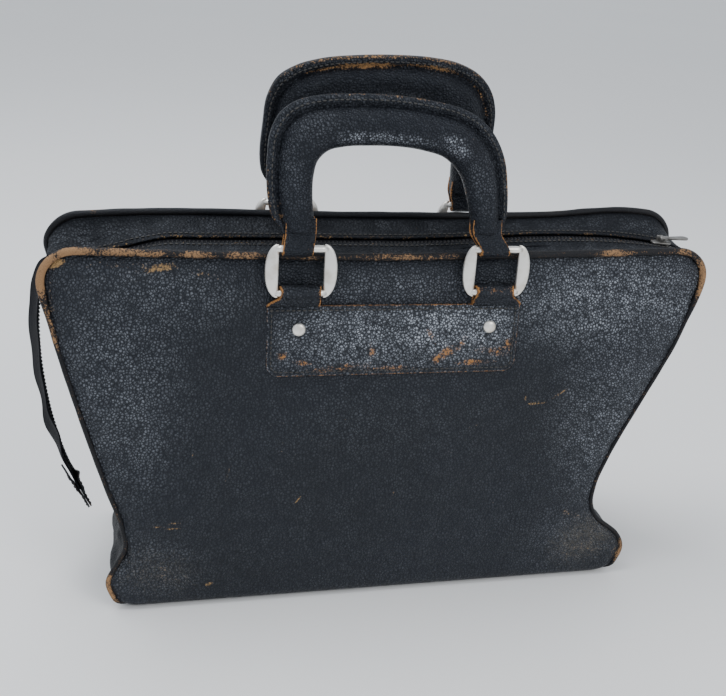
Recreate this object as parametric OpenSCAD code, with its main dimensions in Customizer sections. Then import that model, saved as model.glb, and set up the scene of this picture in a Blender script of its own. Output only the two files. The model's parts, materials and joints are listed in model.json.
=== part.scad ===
/* [Bag] */
// Width over the top corners, piping included
top_w = 440; // [380:4:540]
// Width over the flared bottom corners, piping included
base_w = 374; // [340:1:430]
// Width at the waist, where the sides are narrowest, piping included
waist_w = 336; // [300:1:400]
// Height of the waist above the bottom fold
waist_h = 50; // [40:1:70]
// Depth of the base, front to rear
base_d = 120; // [100:1:150]
// Depth over the two rims
rim_d = 54; // [50:1:80]
// Height of the front rim
rim_h = 243; // [200:1:300]
// How much higher the rear rim stands
rear_rise = 9; // [0:1:12]
// Radius of the top corners
corner_r = 20; // [12:1:30]
// Radius of the flared bottom corners
flare_r = 15; // [10:1:20]

/* [Leather] */
// Thickness of the outer leather with its filler
panel_t = 3; // [2:0.1:4]
// Radius of the piping
pipe_r = 2.3; // [1.5:0.1:3]
// Thickness of the facings along the mouth
facing_t = 2; // [1.5:0.1:3]
// Thickness of the gusset leather
gusset_t = 2.5; // [2:0.1:3]
// How far the gussets fold inward at the top
gusset_fold = 20; // [10:1:30]
// Thickness of the lining cloth
lining_t = 0.8; // [0.5:0.1:1.2]
// Thickness of the base board
board_t = 2; // [1.5:0.1:4]

/* [Handle patch] */
// Width of the patch
patch_w = 166; // [150:1:180]
// Height of the patch
patch_h = 46; // [40:1:60]
// Thickness of the patch
patch_t = 2.2; // [1.5:0.1:3]
// Corner radius of the patch
patch_r = 8; // [4:1:12]
// Distance from the middle to each ring
ring_x = 63; // [55:1:68]
// Width of the tabs that loop round the rings
tab_w = 27; // [22:0.5:27]
// Distance from the rim down to the top edge of the patch
patch_drop = 38; // [36:1:50]
// Radius of the rivet shanks
rivet_r = 1.6; // [1.2:0.1:2]
// Radius of the domed rivet heads
rivet_head_r = 4.3; // [3.5:0.1:5]
// Thickness of the backing board behind the patch
backing_t = 1.5; // [1:0.1:2]

/* [Rings] */
// Clear width inside a ring
ring_in_w = 28; // [27.6:0.1:34]
// Distance between the two bars of a ring
bar_gap = 28; // [26:0.5:32]
// Radius of the ring bars
bar_r = 2.25; // [1.8:0.05:2.5]
// Width of a ring's side plate
cheek_w = 8.7; // [6:0.1:10]
// Height of a ring's side plate
cheek_h = 34; // [33.5:0.5:38]
// Thickness of a ring's side plate
cheek_t = 4; // [3:0.1:4.5]
// Clearance round each ring bar
bar_fit = 0.1; // [0.05:0.01:0.1]
// Distance from the rim down to the lower bars
ring_drop = 29; // [28:0.5:31]

/* [Handles] */
// Width over a handle's legs
grip_w = 150; // [140:1:160]
// Height of a handle above the upper bars
grip_h = 94; // [80:1:110]
// Width of a handle's legs and top, seen from the front
grip_band = 27; // [22:1:30]
// Thickness of a handle
grip_t = 16; // [12:0.5:18]
// Outer corner radius of a handle
grip_r = 44; // [36:1:50]
// Height of the legs' lower ends above the upper bars
leg_gap = 11; // [10:0.5:14]
// How far the handles lean inward
grip_lean = 10; // [6:0.5:10]
// Width of the leather loops on the upper bars
loop_w = 19; // [16:0.5:20]
// Thickness of the leather in the loops
loop_t = 2.3; // [1.8:0.1:2.4]

/* [Zip] */
// How far the zip lies below the outer edges of the facings
zip_drop = 0; // [0:0.5:12]
// Clear width between the facings
zip_slot = 14; // [11:0.5:18]
// Width of one half of the tape
tape_w = 11; // [9:0.5:13]
// Thickness of the tape
tape_t = 0.8; // [0.6:0.1:1]
// Distance between two teeth
tooth_pitch = 4; // [3:0.5:6]
// Distance from the top corner to the closed slider
slider_inset = 24; // [22:1:50]
// How far the tail hangs below the zip
tail_drop = 176; // [150:1:190]
// Length of the tail's leather end tab
tab_len = 30; // [20:1:40]

/* [Hidden] */
$fn = 48;

// Gap kept between pieces that move past each other
gap = 0.4;
// Height of the bottom folds above the floor
floor_gap = 0.3;
fold_r = panel_t;
facing_under = 1;
zip_h = rim_h - 2 * pipe_r - facing_under - facing_t - tape_t / 2 - zip_drop;
slider_x = top_w / 2 - slider_inset;
fold_y = base_d / 2 - fold_r;
fold_z = fold_r + floor_gap;

// One side of the bag stands in its own frame: X across, Z up the panel, -Y outward,
// with the bottom fold as its origin. The frame leans inward to the rim.
function rim_z(rise) = rim_h + rise;
function lean(rise) = atan((fold_y + panel_t - rim_d / 2) / (rim_z(rise) - fold_z));
function side_len(rise) = (rim_z(rise) - fold_z) / cos(lean(rise));
module front_frame(rise = 0) {
    translate([0, -fold_y, fold_z]) rotate([-lean(rise), 0, 0]) children();
}
module rear_frame() {
    mirror([0, 1, 0]) front_frame(rear_rise) children();
}

// The outline of a side, inside its piping
top_half = top_w / 2 - 2 * pipe_r;
base_half = base_w / 2 - 2 * pipe_r;
waist_half = waist_w / 2 - 2 * pipe_r;
arc_steps = 8;
function panel_len(rise) = side_len(rise) - 2 * pipe_r;
function flare_x(s) =
    waist_half + (base_half - waist_half) * (1 + cos(180 * (s - flare_r) / (waist_h - flare_r))) / 2;
function half_outline(len) = concat(
    [for (i = [0:arc_steps]) let (a = -90 + 90 * i / arc_steps)
        [base_half - flare_r + flare_r * cos(a), flare_r + flare_r * sin(a)]],
    [for (i = [1:arc_steps]) let (s = flare_r + (waist_h - flare_r) * i / arc_steps) [flare_x(s), s]],
    [for (i = [0:arc_steps]) let (a = 90 * i / arc_steps)
        [top_half - corner_r + corner_r * cos(a), len - corner_r + corner_r * sin(a)]]);
function flip(points) = [for (i = [len(points) - 1:-1:0]) [-points[i][0], points[i][1]]];
function side_outline(len) = concat(half_outline(len), flip(half_outline(len)));
function unit(v) = v / norm(v);
// The same points moved outward by d
function grown(points, d) = [for (i = [0:len(points) - 1])
    let (before = points[max(i - 1, 0)], after = points[min(i + 1, len(points) - 1)],
        along = unit(after - before))
    points[i] + d * [along[1], -along[0]]];

module side_sheet(len, inset, thick, outer) {
    translate([0, -outer, 0]) rotate([90, 0, 0]) mirror([0, 0, 1])
        linear_extrude(thick) polygon(grown(side_outline(len), -inset));
}

// The base, its board and its lining
base_in_y = fold_y - fold_r - gap;
base_in_x = base_half;
module rounded_plate(half_x, half_y, r, thick) {
    linear_extrude(thick) {
        square([2 * (half_x - r), 2 * half_y], center = true);
        square([2 * half_x, 2 * (half_y - r)], center = true);
        for (sx = [-1, 1], sy = [-1, 1]) translate([sx * (half_x - r), sy * (half_y - r)]) circle(r);
    }
}
module base_panel() {
    color("#22242a") rounded_plate(base_in_x, base_in_y, 10, panel_t);
}
board_edge = 6;
board_end = 14;
module base_board() {
    color("#8a6f4c") translate([0, 0, panel_t])
        rounded_plate(base_in_x - board_end, base_in_y - board_edge, 6, board_t);
}
module base_lining() {
    color("#5a4a3c") translate([0, 0, panel_t + board_t])
        rounded_plate(base_in_x - board_end, base_in_y - board_edge, 6, lining_t);
}

// The gussets fold inward along their middle
gusset_r = gusset_t / 2;
gusset_top = zip_h - 8;
gusset_in = 3.5;
gusset_gap = max(gap, pipe_r - panel_t / 2 + 0.1) + gusset_r;
function inner_y(z, rise) = fold_y - (z - fold_z) * tan(lean(rise)) - gusset_gap;
function side_x(z) = waist_half + (top_half - waist_half) * (z - waist_h) / (rim_h - corner_r - waist_h);
// Each level: height, half width at the panels, half width at the middle fold
gusset_levels = [
    [panel_t + gusset_r + 0.1, base_half - gusset_in, base_half - gusset_r],
    [waist_h, waist_half - gusset_in + 2, waist_half - gusset_r],
    [gusset_top, side_x(gusset_top) - gusset_in, side_x(gusset_top) - gusset_in - gusset_fold]];
module gusset_half(front) {
    for (i = [0:1]) hull() {
        for (k = [i, i + 1]) {
            level = gusset_levels[k];
            y = inner_y(level[0], front ? 0 : rear_rise);
            translate([level[1], front ? -y : y, level[0]]) sphere(gusset_r, $fn = 16);
            translate([level[2], 0, level[0]]) sphere(gusset_r, $fn = 16);
        }
    }
}
module gusset_right() {
    color("#1d1f24") {
        gusset_half(true);
        gusset_half(false);
    }
}
module gusset_left() {
    mirror([1, 0, 0]) gusset_right();
}

// A panel, turned round the bottom fold at its lower end
rivet_drop = patch_drop + 15;
rivet_fit = 0.05;
module rivet_holes(rise) {
    for (sx = [-1, 1]) translate([sx * ring_x, 0, side_len(rise) - rivet_drop])
        rotate([90, 0, 0]) cylinder(h = 60, r = rivet_r + rivet_fit, center = true);
}
module panel(rise) {
    roll = base_half - flare_r;
    color("#22242a") difference() {
        union() {
            side_sheet(panel_len(rise), 0, panel_t, panel_t);
            translate([-roll, 0, 0]) rotate([0, 90, 0]) cylinder(h = 2 * roll, r = fold_r);
        }
        rivet_holes(rise);
    }
}
// The piping round the outline, from one bottom corner over the top to the other
module piping(rise) {
    line = side_outline(panel_len(rise));
    color("#3a2c22") translate([0, -panel_t / 2 + pipe_r, 0]) rotate([90, 0, 0])
        linear_extrude(2 * pipe_r) difference() {
            polygon(grown(line, 2 * pipe_r));
            polygon(line);
            translate([-top_w, -top_w]) square([2 * top_w, top_w + 1.5]);
        }
}
lining_inset = 12;
module backing(rise) {
    drop = rivet_drop + 12;
    half = ring_x + 12;
    color("#9a8260") difference() {
        translate([-half, 0.1, side_len(rise) - drop]) cube([2 * half, backing_t, 36]);
        rivet_holes(rise);
    }
}
module lining(rise) {
    color("#5a4a3c") difference() {
        translate([0, 0.1, 0]) side_sheet(panel_len(rise), lining_inset, lining_t, -backing_t);
        rivet_holes(rise);
        translate([-top_w, -5, -5]) cube([2 * top_w, 30, fold_z + board_t + 11]);
    }
}

// The patch with the two tabs that loop round the lower bars
bar_out = panel_t + loop_t + bar_r + bar_fit + gap;
module patch_plate() {
    lower = patch_h - patch_r;
    linear_extrude(patch_t) {
        translate([-patch_w / 2, -lower]) square([patch_w, lower]);
        translate([-patch_w / 2 + patch_r, -patch_h]) square([patch_w - 2 * patch_r, patch_h]);
        for (sx = [-1, 1]) translate([sx * (patch_w / 2 - patch_r), -lower]) circle(patch_r);
    }
}
module patch(rise) {
    s = side_len(rise);
    tube_r = bar_r + bar_fit + loop_t;
    color("#22242a") difference() {
        union() {
            translate([0, -panel_t, s - patch_drop]) rotate([90, 0, 0]) patch_plate();
            for (sx = [-1, 1]) translate([sx * ring_x - tab_w / 2, 0, s]) {
                translate([0, -panel_t - patch_t, -patch_drop])
                    cube([tab_w, patch_t, patch_drop - ring_drop]);
                translate([0, -bar_out, -ring_drop]) rotate([0, 90, 0]) cylinder(h = tab_w, r = tube_r);
            }
        }
        translate([-patch_w, -bar_out, s - ring_drop]) rotate([0, 90, 0])
            cylinder(h = 2 * patch_w, r = bar_r + bar_fit);
        rivet_holes(rise);
    }
}
module rivets(rise) {
    head_h = 2.6;
    shank = panel_t + patch_t + backing_t + lining_t + 0.2;
    face = panel_t + patch_t;
    ball_r = (rivet_head_r * rivet_head_r + head_h * head_h) / (2 * head_h);
    color("#c8c6c0") for (sx = [-1, 1]) translate([sx * ring_x, -face, side_len(rise) - rivet_drop])
        rotate([90, 0, 0]) {
            translate([0, 0, -shank]) cylinder(h = shank + 0.5, r = rivet_r);
            translate([0, 0, -shank - 1]) cylinder(h = 1, r = rivet_r + 2);
            intersection() {
                translate([0, 0, head_h - ball_r]) sphere(ball_r);
                cylinder(h = head_h, r = rivet_head_r + 1);
            }
        }
}

// A ring: two half-moon cheeks joined by two bars. It leans a little out from the panel.
ring_tilt = 3;
module ring_frame(sx, rise) {
    translate([sx * ring_x, -bar_out, side_len(rise) - ring_drop]) rotate([ring_tilt, 0, 0]) children();
}
module cheek() {
    ball_r = (cheek_h * cheek_h / 4 + cheek_w * cheek_w) / (2 * cheek_w);
    rotate([90, 0, 0]) translate([0, 0, -cheek_t / 2]) linear_extrude(cheek_t) intersection() {
        translate([cheek_w - ball_r, 0]) circle(ball_r, $fn = 96);
        translate([0, -cheek_h / 2]) square([cheek_w, cheek_h]);
    }
}
module ring(sx, rise) {
    bar_len = ring_in_w + 2 * 2.5;
    color("#c9c6bd") ring_frame(sx, rise) {
        for (side = [0, 1]) mirror([side, 0, 0]) translate([ring_in_w / 2, 0, bar_gap / 2]) cheek();
        for (z = [0, bar_gap]) translate([-bar_len / 2, 0, z]) rotate([0, 90, 0]) cylinder(h = bar_len, r = bar_r);
    }
}

// A handle stands on the upper bars and leans inward
module grip_frame(rise) {
    s = side_len(rise) - ring_drop + bar_gap * cos(ring_tilt);
    out = bar_out + bar_gap * sin(ring_tilt);
    a = lean(rise);
    translate([0, -fold_y + s * sin(a) - out * cos(a), fold_z + s * cos(a) + out * sin(a)])
        rotate([-grip_lean, 0, 0]) children();
}
// An arch standing on its legs, cut off at its foot, made from two rounded shoulders
module arch(width, height, r, foot) {
    intersection() {
        union() {
            translate([-width / 2, 0]) square([width, height - r]);
            translate([-width / 2 + r, 0]) square([width - 2 * r, height]);
            for (sx = [-1, 1]) translate([sx * (width / 2 - r), height - r]) circle(r, $fn = 96);
        }
        translate([-width / 2, foot]) square([width, height - foot]);
    }
}
module arch_band(inset, foot) {
    hole_w = grip_w - 2 * grip_band;
    hole_r = grip_r - grip_band + 8;
    difference() {
        arch(grip_w - 2 * inset, grip_h - inset, grip_r - inset, foot);
        arch(hole_w + 2 * inset, grip_h - grip_band + inset, hole_r + inset, foot - 1);
    }
}
core_inset = 6;
core_t = grip_t / 2;
shank_top = leg_gap + 16;
shank_t = 2 * loop_t + 1;
leg_x = grip_w / 2 - grip_band / 2;
module upright(thick) {
    rotate([90, 0, 0]) linear_extrude(thick, center = true) children();
}
module core_shape() {
    upright(core_t) arch_band(core_inset, shank_top);
}
module shank(sx) {
    tube_r = bar_r + bar_fit + loop_t;
    translate([sx * ring_x - loop_w / 2, -shank_t / 2, tube_r - loop_t])
        cube([loop_w, shank_t, shank_top - tube_r + loop_t]);
}
module grip() {
    color("#202228") difference() {
        upright(grip_t) arch_band(0, leg_gap);
        core_shape();
        for (sx = [-1, 1]) shank(sx);
    }
}
module grip_core() {
    color("#b08a55") core_shape();
}
module loop(sx) {
    tube_r = bar_r + bar_fit + loop_t;
    color("#2a2b30") difference() {
        union() {
            shank(sx);
            translate([sx * ring_x - loop_w / 2, 0, 0]) rotate([0, 90, 0]) cylinder(h = loop_w, r = tube_r);
        }
        translate([sx * ring_x - loop_w, 0, 0]) rotate([0, 90, 0]) cylinder(h = 2 * loop_w, r = bar_r + bar_fit);
    }
}

// The facings slope from the rims down to the zip
facing_end = 12;
tooth_h = 2.4;
seam_y = 2.6;
tip_y = 0.6;
facing_half = top_w / 2 - facing_end;
zip_half = slider_x - 10;
module along_x(half) {
    translate([-half, 0, 0]) rotate([90, 0, 90]) linear_extrude(2 * half) children();
}
module facing(rise) {
    outer = -rim_d / 2 + panel_t + 0.5;
    inner = -zip_slot / 2;
    top_z = rim_z(rise) - 2 * pipe_r - facing_under;
    low_z = zip_h + tape_t / 2 + facing_t + 0.1;
    color("#26282e") along_x(facing_half) polygon([[outer, top_z], [inner, low_z],
        [inner, low_z - facing_t], [outer, top_z - facing_t]]);
}
module zip_tape() {
    color("#17181c") translate([-facing_half, -seam_y - tape_w, zip_h - tape_t / 2])
        cube([2 * facing_half, tape_w, tape_t]);
}
module zip_teeth(shift) {
    count = floor(2 * zip_half / tooth_pitch) - 1;
    root_y = -seam_y + 0.8;
    tooth = [for (i = [0:count - 1]) let (x = -zip_half + shift + i * tooth_pitch)
        each [[x, root_y], [x, -tip_y], [x + tooth_pitch / 2, -tip_y], [x + tooth_pitch / 2, root_y]]];
    ends = [[zip_half, root_y], [zip_half, -seam_y], [-zip_half, -seam_y], [-zip_half, root_y]];
    color("#8b8d90") translate([0, 0, zip_h - tooth_h / 2]) linear_extrude(tooth_h)
        polygon(concat(tooth, ends));
}

// The slider, its pull and the tail
plate_t = 1.5;
slider_len = 14;
slider_half = 5;
eye_h = zip_h + tooth_h / 2 + gap + plate_t + 2.1;
eye_pin_r = 0.9;
eye_fit = 0.1;
module zip_slider() {
    low = zip_h - tooth_h / 2 - gap - plate_t;
    high = zip_h + tooth_h / 2 + gap;
    neck_y = tip_y - 0.3;
    color("#b9b6ac") translate([slider_x, 0, 0]) {
        for (z = [low, high]) translate([-slider_len / 2, -slider_half, z])
            cube([slider_len, 2 * slider_half, plate_t]);
        translate([slider_len / 2 - 3, -neck_y, low]) cube([3, 2 * neck_y, high - low + plate_t]);
        for (sy = [-1, 1]) translate([-2, sy * 2.9 - 0.6, high]) cube([4, 1.2, eye_h - high + 1.6]);
        translate([0, 0, eye_h]) rotate([90, 0, 0]) cylinder(h = 6, r = eye_pin_r, center = true);
    }
}
module zip_pull() {
    pull_len = 20;
    eye_r = 1.9;
    color("#b9b6ac") translate([slider_x, 0, eye_h]) difference() {
        union() {
            rotate([90, 0, 0]) cylinder(h = 4, r = eye_r, center = true);
            translate([0, -2, -0.6]) cube([5, 4, 1.2]);
            translate([4, -3.5, -0.6]) cube([pull_len - 4, 7, 1.2]);
        }
        rotate([90, 0, 0]) cylinder(h = 10, r = eye_pin_r + eye_fit, center = true);
    }
}
// The tail's middle line, as [out past the facing's end, below the zip]
tail_points = [[4, 0], [10, -3], [14, -10], [16, -22], [16.5, -50], [15, -85], [11, -115],
    [5, -tail_drop + 30], [-3, -tail_drop + 6]];
tail_w = 20;
tail_t = 2.4;
function tail_line() = [for (p = tail_points) [facing_half + p[0], zip_h + p[1]]];
module tail_slab(line, thick, width) {
    outline = concat(grown(line, thick / 2), [for (i = [len(line) - 1:-1:0]) grown(line, -thick / 2)[i]]);
    mirror([1, 0, 0]) rotate([90, 0, 0]) linear_extrude(width, center = true) polygon(outline);
}
module zip_tail() {
    color("#17181c") tail_slab(tail_line(), tail_t, tail_w);
}
module tail_tab() {
    line = tail_line();
    last = line[len(line) - 1];
    along = unit(last - line[len(line) - 2]);
    side_t = 2;
    start = last - 12 * along;
    finish = last + (tab_len - 12) * along;
    color("#2a2420") difference() {
        tail_slab([start, finish], tail_t + 2 * side_t, tail_w + 2);
        tail_slab(line, tail_t + 0.1, tail_w + 4);
    }
}

base_panel();
base_board();
base_lining();
gusset_left();
gusset_right();

front_frame() panel(0);  // front_panel
front_frame() piping(0);  // front_piping
facing(0);  // front_facing
zip_tape();  // front_zip_tape
zip_teeth(0);  // front_zip_teeth
front_frame() patch(0);  // front_patch
front_frame() rivets(0);  // front_rivets
front_frame() backing(0);  // front_backing
front_frame() lining(0);  // front_lining

rear_frame() panel(rear_rise);  // rear_panel
rear_frame() piping(rear_rise);  // rear_piping
mirror([0, 1, 0]) facing(rear_rise);  // rear_facing
mirror([0, 1, 0]) zip_tape();  // rear_zip_tape
mirror([0, 1, 0]) zip_teeth(tooth_pitch / 2);  // rear_zip_teeth
rear_frame() patch(rear_rise);  // rear_patch
rear_frame() rivets(rear_rise);  // rear_rivets
rear_frame() backing(rear_rise);  // rear_backing
rear_frame() lining(rear_rise);  // rear_lining

front_frame() ring(-1, 0);  // front_ring_left
front_frame() ring(1, 0);  // front_ring_right
rear_frame() ring(-1, rear_rise);  // rear_ring_left
rear_frame() ring(1, rear_rise);  // rear_ring_right

grip_frame(0) grip();  // front_grip
grip_frame(0) grip_core();  // front_grip_core
grip_frame(0) loop(-1);  // front_loop_left
grip_frame(0) loop(1);  // front_loop_right
mirror([0, 1, 0]) grip_frame(rear_rise) grip();  // rear_grip
mirror([0, 1, 0]) grip_frame(rear_rise) grip_core();  // rear_grip_core
mirror([0, 1, 0]) grip_frame(rear_rise) loop(-1);  // rear_loop_left
mirror([0, 1, 0]) grip_frame(rear_rise) loop(1);  // rear_loop_right

zip_slider();
zip_pull();
zip_tail();
tail_tab();
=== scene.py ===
import json
import math

import bmesh
import bpy
import numpy as np
from mathutils import Matrix, Vector


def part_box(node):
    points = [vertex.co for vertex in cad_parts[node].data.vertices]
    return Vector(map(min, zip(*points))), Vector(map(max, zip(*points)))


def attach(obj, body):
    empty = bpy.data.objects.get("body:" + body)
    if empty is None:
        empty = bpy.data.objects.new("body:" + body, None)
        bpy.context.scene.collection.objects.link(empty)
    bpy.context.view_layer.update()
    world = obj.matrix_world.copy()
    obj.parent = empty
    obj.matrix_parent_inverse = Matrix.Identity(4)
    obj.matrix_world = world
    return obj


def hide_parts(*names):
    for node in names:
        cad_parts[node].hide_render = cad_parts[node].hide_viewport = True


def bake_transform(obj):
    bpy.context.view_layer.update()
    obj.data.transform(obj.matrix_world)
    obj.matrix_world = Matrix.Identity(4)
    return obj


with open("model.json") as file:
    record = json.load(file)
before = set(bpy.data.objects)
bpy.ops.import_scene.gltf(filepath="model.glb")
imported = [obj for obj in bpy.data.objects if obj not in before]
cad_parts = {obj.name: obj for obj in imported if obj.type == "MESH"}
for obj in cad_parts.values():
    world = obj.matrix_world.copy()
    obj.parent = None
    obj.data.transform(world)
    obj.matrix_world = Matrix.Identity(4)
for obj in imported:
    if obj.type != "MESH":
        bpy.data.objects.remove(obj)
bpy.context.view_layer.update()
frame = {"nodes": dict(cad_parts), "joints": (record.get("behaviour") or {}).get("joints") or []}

# The camera: a standing person's view, from the left of the front, tilted a little to one side.
azimuth = math.radians(-14.21)
elevation = math.radians(24.58)
roll = math.radians(4.86)
right = Vector((math.cos(azimuth), math.sin(azimuth), 0))
back = Vector((math.sin(azimuth) * math.cos(elevation), -math.cos(azimuth) * math.cos(elevation),
               math.sin(elevation)))
up = back.cross(right)
camera_data = bpy.data.cameras.new("camera")
camera_data.lens = 47.65
camera_data.sensor_width = 36
camera = bpy.data.objects.new("camera", camera_data)
bpy.context.scene.collection.objects.link(camera)
turned_right = math.cos(roll) * right + math.sin(roll) * up
turned_up = math.cos(roll) * up - math.sin(roll) * right
camera.matrix_world = Matrix.Translation((-0.1581, -0.5792, 0.4336)) @ Matrix(
    (turned_right, turned_up, back)).transposed().to_4x4()
bpy.context.scene.camera = camera

# Daylight from a wide window on the left and above, with a pale room around.
world = bpy.data.worlds.new("room")
world.use_nodes = True
world.node_tree.nodes["Background"].inputs["Color"].default_value = (0.88, 0.93, 1.0, 1)
world.node_tree.nodes["Background"].inputs["Strength"].default_value = 0.86
bpy.context.scene.world = world


def window(name, place, target, width, height, power, colour):
    data = bpy.data.lights.new(name, "AREA")
    data.shape = "RECTANGLE"
    data.size = width
    data.size_y = height
    data.energy = power
    data.color = colour
    lamp = bpy.data.objects.new(name, data)
    bpy.context.scene.collection.objects.link(lamp)
    aim = Vector(target) - Vector(place)
    lamp.matrix_world = Matrix.Translation(place) @ aim.to_track_quat("-Z", "Y").to_matrix().to_4x4()


window("window", (-0.55, 0.25, 1.5), (0, 0, 0.15), 1.1, 0.7, 16, (0.95, 0.97, 1.0))
window("room_side", (0.9, -1.2, 1.2), (0, 0, 0.12), 0.7, 0.6, 9, (1.0, 0.98, 0.95))


# Front and rear panels: one hide that runs from the front rim down, under the base and up to the
# rear rim, a little padded, so it crowns between its edges and dips to the piped seam.
# Each panel is a closed shell of leather 1.8 mm thick.
def smooth(t):
    t = np.clip(t, 0, 1)
    return t * t * (3 - 2 * t)


def grid_faces(rows, cols, wrap_rows=False, wrap_cols=False):
    r = np.arange(rows if wrap_rows else rows - 1)
    c = np.arange(cols if wrap_cols else cols - 1)
    r, c = [a.ravel() for a in np.meshgrid(r, c, indexing="ij")]
    r2, c2 = (r + 1) % rows, (c + 1) % cols
    return np.stack([r * cols + c, r * cols + c2, r2 * cols + c2, r2 * cols + c], 1)


def tube_faces(rows, cols):
    """Faces of a tube made of rings, with both its ends closed."""
    faces = [list(f) for f in grid_faces(rows, cols, wrap_cols=True)]
    return faces + [list(range(cols))[::-1], list(range((rows - 1) * cols, rows * cols))]


def piece(name, verts, faces, material, **marks):
    mesh = bpy.data.meshes.new(name)
    mesh.from_pydata(np.asarray(verts).reshape(-1, 3).tolist(), [], [list(map(int, f)) for f in faces])
    mesh.validate()
    mesh.polygons.foreach_set("use_smooth", np.ones(len(mesh.polygons), bool))
    for mark, values in marks.items():
        layer = mesh.attributes.new(mark, "FLOAT", "POINT")
        layer.data.foreach_set("value", np.asarray(values, np.float32).ravel())
    mesh.materials.append(material)
    made = bpy.data.objects.new(name, mesh)
    bpy.context.scene.collection.objects.link(made)
    return made


def shell(outer, inner):
    """Points and faces of a thick sheet from its two faces, with its rim closed."""
    rows, cols = outer.shape[:2]
    count = rows * cols
    top = grid_faces(rows, cols)
    low = top[:, ::-1] + count
    index = np.arange(count).reshape(rows, cols)
    ring = np.concatenate([index[0, :], index[1:, -1], index[-1, -2::-1], index[-2:0:-1, 0]])
    after = np.roll(ring, -1)
    rim = np.stack([after, ring, ring + count, after + count], 1)
    return np.concatenate([outer.reshape(-1, 3), inner.reshape(-1, 3)]), np.concatenate([top, low, rim])


def facing_out(made):
    """Turns a closed piece's faces outward."""
    bm = bmesh.new()
    bm.from_mesh(made.data)
    bmesh.ops.remove_doubles(bm, verts=bm.verts, dist=1e-7)
    bmesh.ops.recalc_face_normals(bm, faces=bm.faces)
    bm.to_mesh(made.data)
    bm.free()
    return made


def ripple(x, y, length, seed, waves=14):
    """Soft uneven waves of about that length, from -1 to 1."""
    rng = np.random.default_rng(seed)
    angle = rng.uniform(0, 2 * math.pi, waves)
    size = 2 * math.pi / (length * rng.uniform(0.7, 1.5, waves))
    phase = rng.uniform(0, 2 * math.pi, waves)
    total = 0
    for a, k, p in zip(angle, size, phase):
        total = total + np.sin(k * (np.cos(a) * x + np.sin(a) * y) + p)
    return total / math.sqrt(waves / 2) / 1.6


# Black cowhide with a pressed pebble grain, waxed and worn for many years. Where the finish is rubbed
# through, the tan hide shows, and dust lies in the grain of the lower corners.
def new_material(name):
    made = bpy.data.materials.new(name)
    made.use_nodes = True
    return made, made.node_tree, made.node_tree.nodes["Principled BSDF"]


def add(tree, kind, inputs=None, **settings):
    made = tree.nodes.new(kind)
    for key, value in settings.items():
        setattr(made, key, value)
    for key, value in (inputs or {}).items():
        socket = made.inputs[key]
        if hasattr(value, "is_output"):
            tree.links.new(value, socket)
        else:
            socket.default_value = value
    return made


def maths(tree, operation, a, b=0.0, c=0.0):
    return add(tree, "ShaderNodeMath", {0: a, 1: b, 2: c}, operation=operation).outputs[0]


def mixed(tree, factor, a, b):
    made = add(tree, "ShaderNodeMix", {0: factor, 6: a, 7: b}, data_type="RGBA")
    return made.outputs[2]


def span(tree, value, low, high, to_low=0.0, to_high=1.0):
    return add(tree, "ShaderNodeMapRange", {0: value, 1: low, 2: high, 3: to_low, 4: to_high}).outputs[0]


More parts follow.
